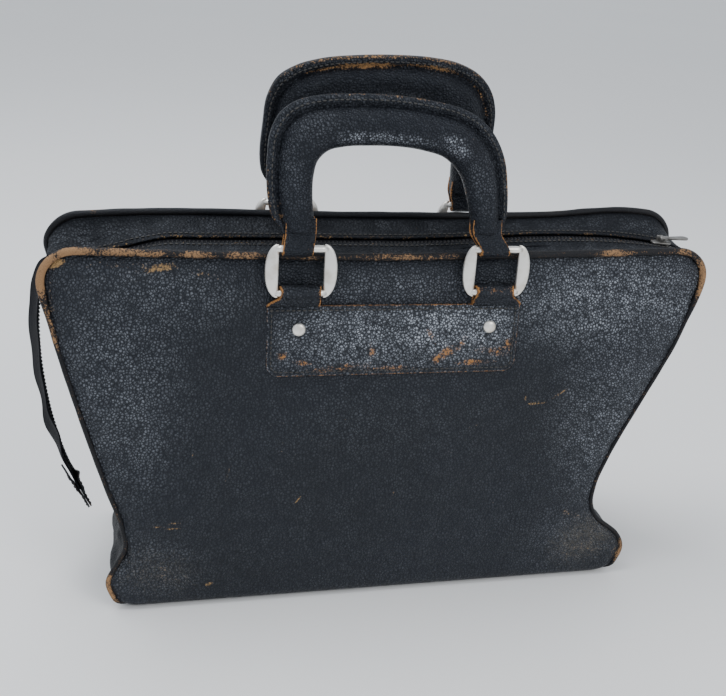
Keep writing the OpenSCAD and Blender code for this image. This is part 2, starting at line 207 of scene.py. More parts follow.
def cowhide(name, dark, pale, raw, cells=560, depth=0.0009, gloss=0.40, wrinkle=0.5, speckle=0.0,
            level=0.36):
    made, tree, skin = new_material(name)
    place = add(tree, "ShaderNodeTexCoord").outputs["Object"]
    drift = add(tree, "ShaderNodeTexNoise", {"Vector": place, "Scale": 160.0, "Detail": 2.0})
    warp = add(tree, "ShaderNodeVectorMath", {0: drift.outputs["Color"], 1: (0.0022, 0.0022, 0.0022)},
               operation="MULTIPLY")
    bent = add(tree, "ShaderNodeVectorMath", {0: place, 1: warp.outputs[0]}, operation="ADD").outputs[0]
    cell = add(tree, "ShaderNodeTexVoronoi", {"Vector": bent, "Scale": float(cells), "Smoothness": 0.35},
               feature="SMOOTH_F1")
    small = add(tree, "ShaderNodeTexVoronoi", {"Vector": bent, "Scale": cells * 2.3}, feature="F1")
    fine = add(tree, "ShaderNodeTexNoise", {"Vector": place, "Scale": 2600.0, "Detail": 3.0})
    crease = add(tree, "ShaderNodeTexNoise", {"Vector": bent, "Scale": 105.0, "Detail": 4.0,
                                              "Roughness": 0.6})
    broad = add(tree, "ShaderNodeTexNoise", {"Vector": place, "Scale": 11.0, "Detail": 3.0})
    patchy = add(tree, "ShaderNodeTexNoise", {"Vector": place, "Scale": 240.0, "Detail": 6.0,
                                              "Roughness": 0.75})
    speck = add(tree, "ShaderNodeTexNoise", {"Vector": place, "Scale": 1000.0, "Detail": 4.0,
                                             "Roughness": 0.7})
    border = add(tree, "ShaderNodeTexVoronoi", {"Vector": bent, "Scale": float(cells)},
                 feature="DISTANCE_TO_EDGE")
    scuff = add(tree, "ShaderNodeAttribute", attribute_name="scuff").outputs["Fac"]
    dust = add(tree, "ShaderNodeAttribute", attribute_name="dust").outputs["Fac"]
    # Painted sheen: a mark on each piece that says where highlights of light are painted on the grain
    shine = add(tree, "ShaderNodeAttribute", attribute_name="shine").outputs["Fac"]
    dome = maths(tree, "SUBTRACT", 1.0, cell.outputs["Distance"])
    dome_small = maths(tree, "SUBTRACT", 1.0, small.outputs["Distance"])

    # Rubbed through first on the tops of the grain
    rub = maths(tree, "MULTIPLY_ADD", patchy.outputs["Fac"], 0.8, maths(tree, "MULTIPLY", scuff, 1.15))
    rub = maths(tree, "MULTIPLY_ADD", speck.outputs["Fac"], 1.15, rub)
    rub = maths(tree, "MULTIPLY_ADD", crease.outputs["Fac"], 0.5, rub)
    rub = maths(tree, "MULTIPLY_ADD", dome, 0.35, rub)
    bare = span(tree, rub, 1.94, 2.18)
    dusty = maths(tree, "MULTIPLY_ADD", speck.outputs["Fac"], 1.7, dust)
    dusty = maths(tree, "MULTIPLY_ADD", patchy.outputs["Fac"], 0.5, dusty)
    dusty = span(tree, dusty, 1.62, 2.05, 0.0, 0.60)
    colour = mixed(tree, span(tree, broad.outputs["Fac"], 0.35, 0.7), dark, pale)
    raised = span(tree, border.outputs["Distance"], 0.02, 0.20)
    # Painted shade: the grooves between the grain cells are darkened almost to black
    colour = mixed(tree, span(tree, raised, 0.0, 1.0, 0.7, 0.0), colour, (0.002, 0.002, 0.003, 1))
    # Painted highlight: the tops of the grain are painted a pale blue-grey as glints of light, some of them
    # more than others, most where the sheen mark is high
    painted_highlight = maths(tree, "MULTIPLY", raised, span(tree, speck.outputs["Fac"], 0.38, 0.62, 0.15, 1.0))
    painted_highlight = maths(tree, "MULTIPLY", painted_highlight, span(tree, dome, 0.35, 0.70, 0.35, 1.0))
    painted_highlight = maths(tree, "MULTIPLY", painted_highlight, span(tree, crease.outputs["Fac"], 0.38, 0.60, 0.45, 1.0))
    painted_highlight = maths(tree, "MULTIPLY", painted_highlight, shine)
    colour = mixed(tree, painted_highlight, colour, (0.49, 0.525, 0.585, 1))
    colour = mixed(tree, dusty, colour, (0.17, 0.150, 0.115, 1))
    hide = mixed(tree, span(tree, fine.outputs["Fac"], 0.3, 0.7), raw,
                 (raw[0] * 0.6, raw[1] * 0.55, raw[2] * 0.5, 1))
    colour = mixed(tree, bare, colour, hide)
    if speckle:
        flakes = span(tree, patchy.outputs["Fac"], 0.70, 0.76, 0.0, speckle)
        colour = mixed(tree, flakes, colour, raw)
    tree.links.new(colour, skin.inputs["Base Color"])
    rough = span(tree, patchy.outputs["Fac"], 0.2, 0.8, gloss - 0.07, gloss + 0.12)
    rough = maths(tree, "ADD", rough, maths(tree, "MULTIPLY", bare, 0.35))
    rough = maths(tree, "ADD", rough, maths(tree, "MULTIPLY", dusty, 0.4))
    tree.links.new(rough, skin.inputs["Roughness"])
    skin.inputs["Specular IOR Level"].default_value = level
    skin.inputs["Specular Tint"].default_value = (0.80, 0.88, 1.0, 1)

    height = maths(tree, "MULTIPLY_ADD", dome_small, 0.25, maths(tree, "MULTIPLY", dome, 0.7))
    height = maths(tree, "MULTIPLY_ADD", raised, 0.30, height)
    height = maths(tree, "MULTIPLY_ADD", fine.outputs["Fac"], 0.12, height)
    height = maths(tree, "MULTIPLY_ADD", crease.outputs["Fac"], wrinkle * 2.0, height)
    height = maths(tree, "MULTIPLY_ADD", bare, -0.2, height)
    bump = add(tree, "ShaderNodeBump", {"Strength": 1.0, "Distance": depth, "Height": height})
    tree.links.new(bump.outputs["Normal"], skin.inputs["Normal"])
    return made


black = (0.0045, 0.0052, 0.0075, 1)
blue_black = (0.0085, 0.0100, 0.0150, 1)
ochre = (0.42, 0.27, 0.12, 1)
panel_hide = cowhide("panel_hide", black, blue_black, ochre)


def joint_place(name):
    return [j for j in frame["joints"] if j["name"] == name][0]["pos_m"]


# The two sides lean inward from the bottom folds to the rims. A place on a side is given as
# x across, s up the leather from the fold, and out from its outer face.
class Side:
    def __init__(self, name, sign, rim_height):
        hinge = joint_place(name + "_side_open")
        self.name, self.sign = name, sign
        self.fold_y, self.fold_z = abs(hinge[1]), hinge[2]
        self.leather = 0.003
        half_rim = 0.027
        self.lean = math.atan((self.fold_y + self.leather - half_rim) / (rim_height - self.fold_z))
        self.length = (rim_height - self.fold_z) / math.cos(self.lean)

    def at(self, x, s, out=0.0):
        """Points on the side. Below the fold's start the leather rolls under the base."""
        x, s, out = np.broadcast_arrays(*[np.asarray(v, float) for v in (x, s, out)])
        sine, cosine = math.sin(self.lean), math.cos(self.lean)
        thick = self.leather + out
        flat_y = self.fold_y - s * sine + thick * cosine
        flat_z = self.fold_z + s * cosine + thick * sine
        roll_r, floor = 0.007, 0.0003
        start = (floor + roll_r * (1 + sine) - self.fold_z - self.leather * sine) / cosine
        centre_z = floor + roll_r
        centre_y = self.fold_y - start * sine + (self.leather - roll_r) * cosine
        turn = np.clip((start - s) / roll_r, 0, math.pi / 2 + self.lean)
        along = np.maximum((start - s) / roll_r - (math.pi / 2 + self.lean), 0) * roll_r
        angle = self.lean - turn
        roll_y = centre_y + (roll_r + out) * np.cos(angle) - along
        roll_z = centre_z + (roll_r + out) * np.sin(angle)
        y = np.where(s > start, flat_y, roll_y)
        z = np.where(s > start, flat_z, roll_z)
        return np.stack([x, self.sign * y, z], -1)

    def normal(self):
        return np.array([0, self.sign * math.cos(self.lean), math.sin(self.lean)])

    def upward(self):
        return np.array([0, -self.sign * math.sin(self.lean), math.cos(self.lean)])


front = Side("front", -1, 0.243)
rear = Side("rear", 1, 0.252)
sides = (front, rear)


# The rims have sunk a little between their corners, and the bag has slumped to one side, so its
# right waist is pulled in further than its left one.
def through(points, t):
    """A smooth line through a few points, read at t."""
    points = np.array(points, float)
    a, b = points[:, 0], points[:, 1]
    slope = np.gradient(b, a)
    t = np.clip(t, a[0], a[-1])
    i = np.clip(np.searchsorted(a, t) - 1, 0, len(a) - 2)
    h = a[i + 1] - a[i]
    u = (t - a[i]) / h
    return ((1 + 2 * u) * (1 - u) ** 2 * b[i] + u * (1 - u) ** 2 * h * slope[i]
            + u * u * (3 - 2 * u) * b[i + 1] + u * u * (u - 1) * h * slope[i + 1])


rim_sag = {"front": [(-0.215, -0.001), (-0.16, -0.0025), (-0.02, -0.0048), (0.12, -0.0025),
                     (0.215, 0.0)],
           "rear": [(-0.215, -0.006), (-0.17, -0.003), (-0.02, -0.003), (0.12, -0.001), (0.18, 0.003),
                    (0.215, -0.001)]}
pipe_r = 0.0024
corner_r = 0.021
left_edge = [(-0.03, 0.176), (0.006, 0.184), (0.018, 0.1868), (0.028, 0.182), (0.041, 0.1755),
             (0.055, 0.1768), (0.088, 0.1868), (0.148, 0.2038), (0.19, 0.2142), (0.225, 0.2198),
             (0.26, 0.2215)]
right_edge = [(-0.03, 0.174), (0.006, 0.183), (0.018, 0.1862), (0.028, 0.181), (0.041, 0.1645),
              (0.052, 0.1585), (0.068, 0.1588), (0.091, 0.1665), (0.135, 0.1875), (0.178, 0.2078),
              (0.221, 0.2192), (0.26, 0.2210)]


def sagged(side, x, s):
    return s + through(rim_sag[side.name], x) * smooth((s - 0.205) / 0.035)


def half_width(points, side, s):
    """From the middle to the leather's edge, inside the piping, with both corners rounded."""
    top = side.length - 2 * pipe_r
    wide = through(points, s * front.length / side.length) - 2 * pipe_r
    over = np.clip(s - (top - corner_r), 0, corner_r)
    under = np.clip(0.012 - s, 0, 0.0205)
    return (wide - corner_r + np.sqrt(corner_r ** 2 - over ** 2)
            - 0.016 * (1 - np.sqrt(1 - (under / 0.021) ** 2)))


def side_rows(side):
    top = side.length - 2 * pipe_r
    low_turn = np.linspace(-0.0085, 0.03, 26)
    middle = np.linspace(0.03, top - corner_r, 96)[1:]
    corner = top - corner_r + corner_r * np.sin(np.linspace(0, math.pi / 2, 17))[1:]
    return np.concatenate([low_turn, middle, corner])


def spots(x, s, marks):
    """Soft marks such as worn places, dust or painted sheen, each (x, s, half length, half height, turn in
    degrees, strength).
    """
    total = np.zeros(np.broadcast(x, s).shape)
    for mx, ms, rx, rs, turn, strength in marks:
        a = math.radians(turn)
        dx, ds = x - mx, s - ms
        u = (dx * math.cos(a) + ds * math.sin(a)) / rx
        v = (-dx * math.sin(a) + ds * math.cos(a)) / rs
        total = np.maximum(total, strength * np.exp(-(u * u + v * v) ** 1.3))
    return total


# The leather's outer face, how worn and dusty it is at each place, and where highlights of light are
# painted on it.
hide_thick = 0.0018
panel_scuffs = {
    "front": [(-0.206, 0.231, 0.006, 0.003, 30, 0.95), (-0.165, 0.231, 0.040, 0.004, 0, 0.42),
              (-0.147, 0.230, 0.016, 0.004, 10, 0.62), (-0.120, 0.226, 0.016, 0.004, -15, 0.45),
              (-0.211, 0.205, 0.004, 0.022, 0, 0.40), (-0.145, 0.0585, 0.013, 0.0009, 8, 0.72),
              (-0.141, 0.0555, 0.010, 0.0008, 5, 0.66), (-0.106, 0.094, 0.010, 0.0012, 75, 0.52),
              (0.103, 0.134, 0.014, 0.0016, 6, 0.66), (0.118, 0.140, 0.009, 0.0012, 32, 0.62),
              (0.094, 0.138, 0.0015, 0.006, 0, 0.55), (-0.060, 0.072, 0.009, 0.0006, 58, 0.60),
              (-0.052, 0.068, 0.006, 0.0005, 50, 0.55), (-0.128, 0.108, 0.008, 0.0006, 70, 0.58),
              (0.005, 0.075, 0.008, 0.0005, 80, 0.55), (0.060, 0.120, 0.010, 0.0005, 20, 0.52),
              (-0.030, 0.128, 0.007, 0.0005, 10, 0.52), (0.080, 0.060, 0.010, 0.0006, -35, 0.52),
              (0.136, 0.049, 0.012, 0.003, -20, 0.50), (0.150, 0.020, 0.030, 0.016, 20, 0.34),
              (-0.150, 0.022, 0.030, 0.016, -10, 0.30), (0.196, 0.150, 0.004, 0.050, -20, 0.45),
              (0.030, 0.100, 0.050, 0.020, 30, 0.20), (-0.070, 0.115, 0.040, 0.020, 60, 0.22),
              (-0.118, 0.012, 0.004, 0.003, 0, 0.62), (0.178, 0.012, 0.008, 0.010, 0, 0.40)],
    "rear": [(0.12, 0.22, 0.03, 0.004, 0, 0.45), (-0.10, 0.03, 0.04, 0.012, 0, 0.35),
             (0.05, 0.12, 0.02, 0.002, 35, 0.55), (0.16, 0.02, 0.03, 0.014, 0, 0.33)],
}
panel_dust = {
    "front": [(0.152, 0.028, 0.045, 0.030, 20, 0.66), (-0.152, 0.024, 0.048, 0.030, -15, 0.54),
              (0.02, 0.10, 0.12, 0.05, 10, 0.25), (0.02, 0.005, 0.16, 0.010, 0, 0.35),
              (-0.17, 0.225, 0.05, 0.014, 0, 0.35)],
    "rear": [(0.0, 0.01, 0.18, 0.020, 0, 0.55)],
}
# Where highlights of light are painted on the panels, strongest at the upper right of the front
panel_painted_sheen = {
    "front": [(0.150, 0.205, 0.080, 0.034, 0, 0.95), (0.165, 0.120, 0.050, 0.075, 0, 0.55),
              (0.0, 0.216, 0.065, 0.016, 0, 0.40), (-0.175, 0.150, 0.045, 0.080, 0, 0.42),
              (-0.150, 0.212, 0.060, 0.030, 0, 0.36), (0.145, 0.035, 0.050, 0.035, 20, 0.26),
              (-0.155, 0.030, 0.045, 0.030, -15, 0.24), (0.0, 0.130, 0.10, 0.045, 0, 0.15)],
    "rear": [(0.0, 0.200, 0.170, 0.040, 0, 0.35), (-0.15, 0.10, 0.06, 0.07, 0, 0.28)],
}


def side_bulge(side, x, s, left, right):
    """How far the padded leather stands out of its flat side."""
    across = np.where(x < 0, -x / left, x / right)
    height = np.clip(s / side.length, 0, 1)
    crown = 0.0036 * (1 - across ** 2) * np.sin(math.pi * height) ** 0.7
    under_patch = smooth((0.095 - np.abs(x)) / 0.03) * smooth((s - side.length + 0.105) / 0.03)
    to_edge = np.minimum(np.minimum(right - x, x + left), side.length - 2 * pipe_r - s)
    to_edge = np.maximum(to_edge, 0)
    dip = -0.0022 * np.exp(-(to_edge / 0.0038) ** 1.5)
    uneven = 0.0007 * ripple(x, s, 0.085, 11 + side.sign) + 0.00022 * ripple(x, s, 0.018, 5 + side.sign)
    uneven += 0.00010 * ripple(x, s, 0.0075, 15 + side.sign, 24)
    settled = smooth(to_edge / 0.012) * smooth((s - 0.004) / 0.02)
    return (crown * smooth((s - 0.002) / 0.03) + uneven * settled) * (1 - under_patch) + dip


for side in sides:
    s = side_rows(side)[:, None]
    left, right_half = half_width(left_edge, side, s), half_width(right_edge, side, s)
    share = np.linspace(-1, 1, 211)[None, :]
    share = share + 0.012 * np.sin(math.pi * share)
    share = share / np.abs(share).max()
    x = np.where(share < 0, share * left, share * right_half)
    out = side_bulge(side, x, s, left, right_half)
    # The soft crease that runs from the left waist down into the flared corner
    along = np.clip((0.064 - s) / 0.046, 0, 1)
    line_x = -0.1765 + 0.0175 * along
    ridge = np.exp(-((x - line_x) / 0.0016) ** 2) * smooth(along * 6) * smooth((1 - along) * 5)
    hollow = np.exp(-((x - line_x + 0.007) / 0.006) ** 2) * smooth(along * 3) * smooth((1 - along) * 3)
    out = out + (0.0010 * ridge - 0.0022 * hollow if side is front else 0)
    across_s = sagged(side, x, s)
    outer = side.at(x, across_s, out)
    inner = side.at(x, across_s, np.minimum(out - hide_thick, -hide_thick))
    verts, faces = shell(outer, inner)
    scuff = spots(x, s, panel_scuffs[side.name])
    edge = np.minimum(np.minimum(right_half - x, x + left), side.length - 2 * pipe_r - s)
    scuff = np.maximum(scuff, 0.30 * np.exp(-np.maximum(edge, 0) / 0.004))
    dust = spots(x, s, panel_dust[side.name])
    # Painted sheen: highlights of light painted on the panel's grain
    shine = np.maximum(spots(x, s, panel_painted_sheen[side.name]), 0.09)
    panel = facing_out(piece(side.name + "_leather", verts, faces, panel_hide,
                             shine=np.tile(shine.ravel(), 2), scuff=np.tile(scuff.ravel(), 2),
                             dust=np.tile(dust.ravel(), 2)))
    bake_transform(panel)
    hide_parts(side.name + "_panel")


# Base: the same hide between the two folds, with the pressed board lying on it inside. Its ends are
# rounded and turn up a little where they are sewn to the gussets.
base_half_depth, base_thick = 0.0535, 0.0026
base_y = np.linspace(-base_half_depth, base_half_depth, 40)[:, None]
base_share = np.linspace(-1, 1, 120)[None, :]
base_end = 0.1705 + 0.007 * np.sqrt(np.clip(1 - (np.abs(base_y) / 0.0536) ** 6, 0, 1))
base_x = base_share * base_end
base_z = 0.0004 + 0.00025 * (1 + ripple(base_x, base_y, 0.05, 31)) + 0.0022 * smooth(
    (np.abs(base_share) - 0.985) / 0.015)
under = np.stack(np.broadcast_arrays(base_x, base_y, base_z), -1)
verts, faces = shell(under + np.array([0, 0, base_thick]), under)
base = facing_out(piece("base_leather", verts, faces, panel_hide,
                        scuff=np.full(len(verts), 0.35), dust=np.full(len(verts), 0.5)))
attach(base, "root")
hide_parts("base_panel")

# The floor: a plain pale surface under the bag, matt and slightly cloudy, which runs on far behind
# it. It belongs to the picture and not to the bag.
floor_material, tree, surface = new_material("pale_floor")
place = add(tree, "ShaderNodeTexCoord").outputs["Object"]
cloudy = add(tree, "ShaderNodeTexNoise", {"Vector": place, "Scale": 1.2, "Detail": 3.0})
tree.links.new(mixed(tree, cloudy.outputs["Fac"], (0.885, 0.885, 0.88, 1), (0.925, 0.92, 0.91, 1)),
               surface.inputs["Base Color"])
surface.inputs["Roughness"].default_value = 0.6
floor_x, floor_y = np.meshgrid(np.linspace(-6, 6, 3), np.linspace(-4, 8, 3))
floor = piece("floor", np.stack([floor_x, floor_y, 0 * floor_x], -1), grid_faces(3, 3), floor_material)


# Piping: a thin strip of hide round a cord, sewn into the seam all the way round each side. The
# finish has rubbed through to the tan hide along the front's top corners.
edge_hide = cowhide("edge_hide", (0.006, 0.0055, 0.006, 1), (0.016, 0.013, 0.011, 1),
                    (0.36, 0.215, 0.11, 1), cells=900, depth=0.0002, gloss=0.45, wrinkle=0.4, speckle=0.35,
                    level=0.25)


def rod(centre, across, over, profile):
    """A profile of (across, over) points swept along centre, with flat ends."""
    profile = np.asarray(profile)
    if profile.ndim == 2:
        profile = np.broadcast_to(profile, (len(centre),) + profile.shape)
    verts = centre[:, None] + profile[..., :1] * across[:, None] + profile[..., 1:] * over[:, None]
    return verts, tube_faces(*verts.shape[:2])


def edge_path(side):
    """The leather's edge as x and s, from the left fold up and over to the right one."""
    top = side.length - 2 * pipe_r
    rise = np.concatenate([np.linspace(-0.0055, 0.03, 34), np.linspace(0.03, top - corner_r, 80)[1:],
                           top - corner_r + corner_r * np.sin(np.linspace(0, math.pi / 2, 16))[1:]])
    left, right_half = half_width(left_edge, side, rise), half_width(right_edge, side, rise)
    over = np.linspace(-left[-1], right_half[-1], 130)[1:-1]
    return (np.concatenate([-left, over, right_half[::-1]]),
            np.concatenate([rise, np.full(len(over), top), rise[::-1]]))


def beside(x, s, away):
    """The path moved outward by that distance."""
    dx, ds = np.gradient(x), np.gradient(s)
    length = np.hypot(dx, ds)
    return x - ds / length * away, s + dx / length * away


def unit(v):
    return v / np.linalg.norm(v, axis=-1, keepdims=True)


piping_scuffs = {
    "front": [(-0.213, 0.226, 0.013, 0.018, 0, 0.70), (-0.200, 0.242, 0.018, 0.012, 0, 0.64),
              (-0.165, 0.242, 0.032, 0.012, 0, 0.48), (-0.126, 0.242, 0.014, 0.012, 0, 0.50),
              (-0.098, 0.242, 0.018, 0.012, 0, 0.42), (-0.060, 0.242, 0.020, 0.012, 0, 0.32),
              (0.0, 0.242, 0.05, 0.012, 0, 0.34), (0.148, 0.242, 0.016, 0.012, 0, 0.50),
              (0.200, 0.242, 0.014, 0.010, 0, 0.45), (0.217, 0.222, 0.012, 0.022, 0, 0.56),
              (-0.212, 0.190, 0.012, 0.020, 0, 0.36), (-0.182, 0.012, 0.014, 0.014, 0, 0.50),
              (0.184, 0.014, 0.012, 0.014, 0, 0.42)],
    "rear": [(-0.190, 0.25, 0.020, 0.014, 0, 0.48), (0.21, 0.245, 0.02, 0.02, 0, 0.45),
             (-0.06, 0.252, 0.05, 0.012, 0, 0.40), (0.13, 0.252, 0.05, 0.012, 0, 0.36),
             (-0.182, 0.012, 0.02, 0.016, 0, 0.55), (0.182, 0.012, 0.02, 0.016, 0, 0.55)],
}
round_profile = np.array([(math.cos(a), math.sin(a)) for a in np.linspace(0, 2 * math.pi, 17)[:-1]])
for side in sides:
    x, s = edge_path(side)
    on_top = smooth((s - side.length + 0.055) / 0.03)
    moved_x, moved_s = beside(x, s, pipe_r * (0.50 + 0.30 * on_top))
    moved_s = moved_s + (sagged(side, x, s) - s)
    centre = side.at(moved_x, moved_s, -0.0016 - 0.0012 * (1 - on_top))
    outward = unit(side.at(moved_x, moved_s, 0.0) - side.at(moved_x, moved_s, -0.003))
    across = unit(np.cross(np.gradient(centre, axis=0), outward))
    radius = pipe_r * (1 + 0.05 * ripple(x, s, 0.02, 41)) * (0.68 + 0.34 * on_top)
    verts, faces = rod(centre, across, outward, radius[:, None, None] * round_profile)
    scuff = np.maximum(spots(x, s, piping_scuffs[side.name]), 0.12)
    scuff = scuff[:, None] + 0.22 * round_profile[None, :, 1]
    piping = facing_out(piece(side.name + "_edge_piping", verts, faces, edge_hide, scuff=scuff,
                              dust=np.full(scuff.shape, 0.25)))
    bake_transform(piping)
    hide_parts(side.name + "_piping")


# Gussets: one soft strip of hide at each end, folded inward along its middle and bulging out at
# the waist. Each half runs from the middle fold to its own side's seam.
soft_hide = cowhide("soft_hide", (0.003, 0.0033, 0.0045, 1), black, ochre, cells=520, depth=0.0005,
                    gloss=0.50, wrinkle=0.7, level=0.20)
gusset_fold = [(0.0, 0.000), (0.02, 0.001), (0.045, 0.000), (0.075, 0.004), (0.12, 0.014),
               (0.18, 0.030), (0.232, 0.040)]
gusset_tops = {-1: 0.2215, 1: 0.2275}
bend_reach = 0.022
for end, end_name, edge in ((-1, "left", left_edge), (1, "right", right_edge)):
    for side in sides:
        rows, cols = 90, 30
        height = np.linspace(0.0032, gusset_tops[end], rows)[:, None]
        v = np.linspace(0, 1, cols)[None, :]
        s = (height - side.fold_z) / math.cos(side.lean)
        seam_x = half_width(edge, side, s) - 0.0006
        middle_x = half_width(edge, front, s) - through(gusset_fold, height)
        seam = side.at(end * seam_x, s, -0.0036)
        bow = 1 - v ** 2 + (v ** 2 - v) * smooth((height - 0.05) / 0.06)
        x = seam_x + (middle_x - seam_x) * bow
        slack = np.sin(math.pi * v) * smooth(height / 0.02)
        x = x + 0.0011 * ripple(height, 0.06 * v, 0.030, 51 + end + side.sign) * slack
        x = x + 0.0016 * slack * ripple(height, 0.03 * v, 0.016, 61 + end) * smooth((0.08 - height) / 0.03)
        y = seam[..., 1] * v
        z = height + (seam[..., 2] - height) * v
        outer = np.stack(np.broadcast_arrays(end * x, y, z), -1)
        verts, faces = shell(outer, outer - np.array([end * hide_thick, 0, 0]))
        rubbed = 0.30 * np.exp(-((height - 0.045) / 0.02) ** 2) * (1 - v) + 0.16
        half = facing_out(piece(f"{side.name}_{end_name}_gusset", verts, faces, soft_hide,
                                scuff=np.tile(rubbed.ravel(), 2), dust=np.full(2 * rows * cols, 0.1)))
        top_middle = np.array([0, 0, gusset_fold[-1][0]])
        tuple(top_middle + side.normal() * bend_reach)
        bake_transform(half)
    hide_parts("gusset_" + end_name)


# Facings: soft hide from each rim down to the zip, its lower edge folded under and sewn. At the
# left end they have sunk into a wrinkled hollow.
facing_low = [(-0.2195, 0.2265), (-0.205, 0.2265), (-0.188, 0.2275), (-0.166, 0.2325),
              (-0.144, 0.2375), (-0.12, 0.2378), (0.0, 0.2378), (0.19, 0.2375), (0.205, 0.2350),
              (0.2195, 0.2310)]
facing_thick = 0.0016


def stitch_run(name, path, face, body, material, pitch=0.0034, long=0.0023, thick=0.00045):
    """Thread along a path: one small lozenge for each stitch, laid by a node tree."""
    bars = []
    turns = np.linspace(0, 2 * math.pi, 7)[:-1]
    for at, size in ((-0.5, 0.35), (-0.3, 0.9), (0.0, 1.0), (0.3, 0.9), (0.5, 0.35)):
        bars.append([(at * long, size * thick * math.cos(a), size * thick * math.sin(a)) for a in turns])
    one = facing_out(piece(name + "_one", bars, tube_faces(5, 6), material))
    return laid_along(name, path, face, one, pitch, material, body)


def laid_along(name, path, face, unit_piece, pitch, material, body):
    line = bpy.data.meshes.new(name + "_line")
    line.from_pydata(np.asarray(path).tolist(), [(i, i + 1) for i in range(len(path) - 1)], [])
    carrier = bpy.data.objects.new(name + "_line", line)
    bpy.context.scene.collection.objects.link(carrier)
    tree = bpy.data.node_groups.new(name + "_run", "GeometryNodeTree")
    tree.interface.new_socket("Geometry", in_out="INPUT", socket_type="NodeSocketGeometry")
    tree.interface.new_socket("Piece", in_out="INPUT", socket_type="NodeSocketObject")
    tree.interface.new_socket("Pitch", in_out="INPUT", socket_type="NodeSocketFloat")
    tree.interface.new_socket("Face", in_out="INPUT", socket_type="NodeSocketVector")
    tree.interface.new_socket("Geometry", in_out="OUTPUT", socket_type="NodeSocketGeometry")
    given, result = tree.nodes.new("NodeGroupInput"), tree.nodes.new("NodeGroupOutput")
    curve = add(tree, "GeometryNodeMeshToCurve", {"Mesh": given.outputs["Geometry"]})
    spaced = add(tree, "GeometryNodeResampleCurve", {"Curve": curve.outputs[0]})
    if "Mode" in spaced.inputs:
        spaced.inputs["Mode"].default_value = "Length"
    else:
        spaced.mode = "LENGTH"
    tree.links.new(given.outputs["Pitch"], spaced.inputs["Length"])
    tangent = tree.nodes.new("GeometryNodeInputTangent")
    along = add(tree, "FunctionNodeAlignRotationToVector", {"Vector": tangent.outputs[0]}, axis="X")
    turned = add(tree, "FunctionNodeAlignRotationToVector",
                 {"Rotation": along.outputs[0], "Vector": given.outputs["Face"]}, axis="Z", pivot_axis="X")
    info = add(tree, "GeometryNodeObjectInfo", {"Object": given.outputs["Piece"]})
    laid = add(tree, "GeometryNodeInstanceOnPoints",
               {"Points": spaced.outputs[0], "Instance": info.outputs["Geometry"],
                "Rotation": turned.outputs[0]})
    real = add(tree, "GeometryNodeRealizeInstances", {"Geometry": laid.outputs[0]})
    finish = add(tree, "GeometryNodeSetMaterial", {"Geometry": real.outputs[0], "Material": material})
    tree.links.new(finish.outputs[0], result.inputs[0])
    modifier = carrier.modifiers.new("run", "NODES")
    modifier.node_group = tree
    sockets = {i.name: i.identifier for i in tree.interface.items_tree if i.in_out == "INPUT"}
    modifier[sockets["Piece"]] = unit_piece
    modifier[sockets["Pitch"]] = pitch
    modifier[sockets["Face"]] = tuple(float(v) for v in face)
    evaluated = carrier.evaluated_get(bpy.context.evaluated_depsgraph_get())
    mesh = bpy.data.meshes.new_from_object(evaluated)
    carrier.modifiers.clear()
    made = bpy.data.objects.new(name, mesh)
    bpy.context.scene.collection.objects.link(made)
    mesh.polygons.foreach_set("use_smooth", np.ones(len(mesh.polygons), bool))
    for spare in (carrier, unit_piece):
        bpy.data.objects.remove(spare)
    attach(made, body)
    return made


thread, tree, surface = new_material("waxed_thread")
place = add(tree, "ShaderNodeTexCoord").outputs["Object"]
strand = add(tree, "ShaderNodeTexNoise", {"Vector": place, "Scale": 1800.0, "Detail": 2.0})
tree.links.new(mixed(tree, strand.outputs["Fac"], (0.010, 0.010, 0.011, 1), (0.075, 0.070, 0.062, 1)),
               surface.inputs["Base Color"])
surface.inputs["Roughness"].default_value = 0.55


def rim_edge(side, x):
    """Height of the leather's top edge at x, round its corners."""
    top = side.length - 2 * pipe_r
    start = np.where(x < 0, half_width(left_edge, side, np.array([top]))[0],
                     half_width(right_edge, side, np.array([top]))[0])
    over = np.clip(np.abs(x) - start, 0, corner_r * 0.995)
    return sagged(side, x, top - corner_r + np.sqrt(corner_r ** 2 - over ** 2))


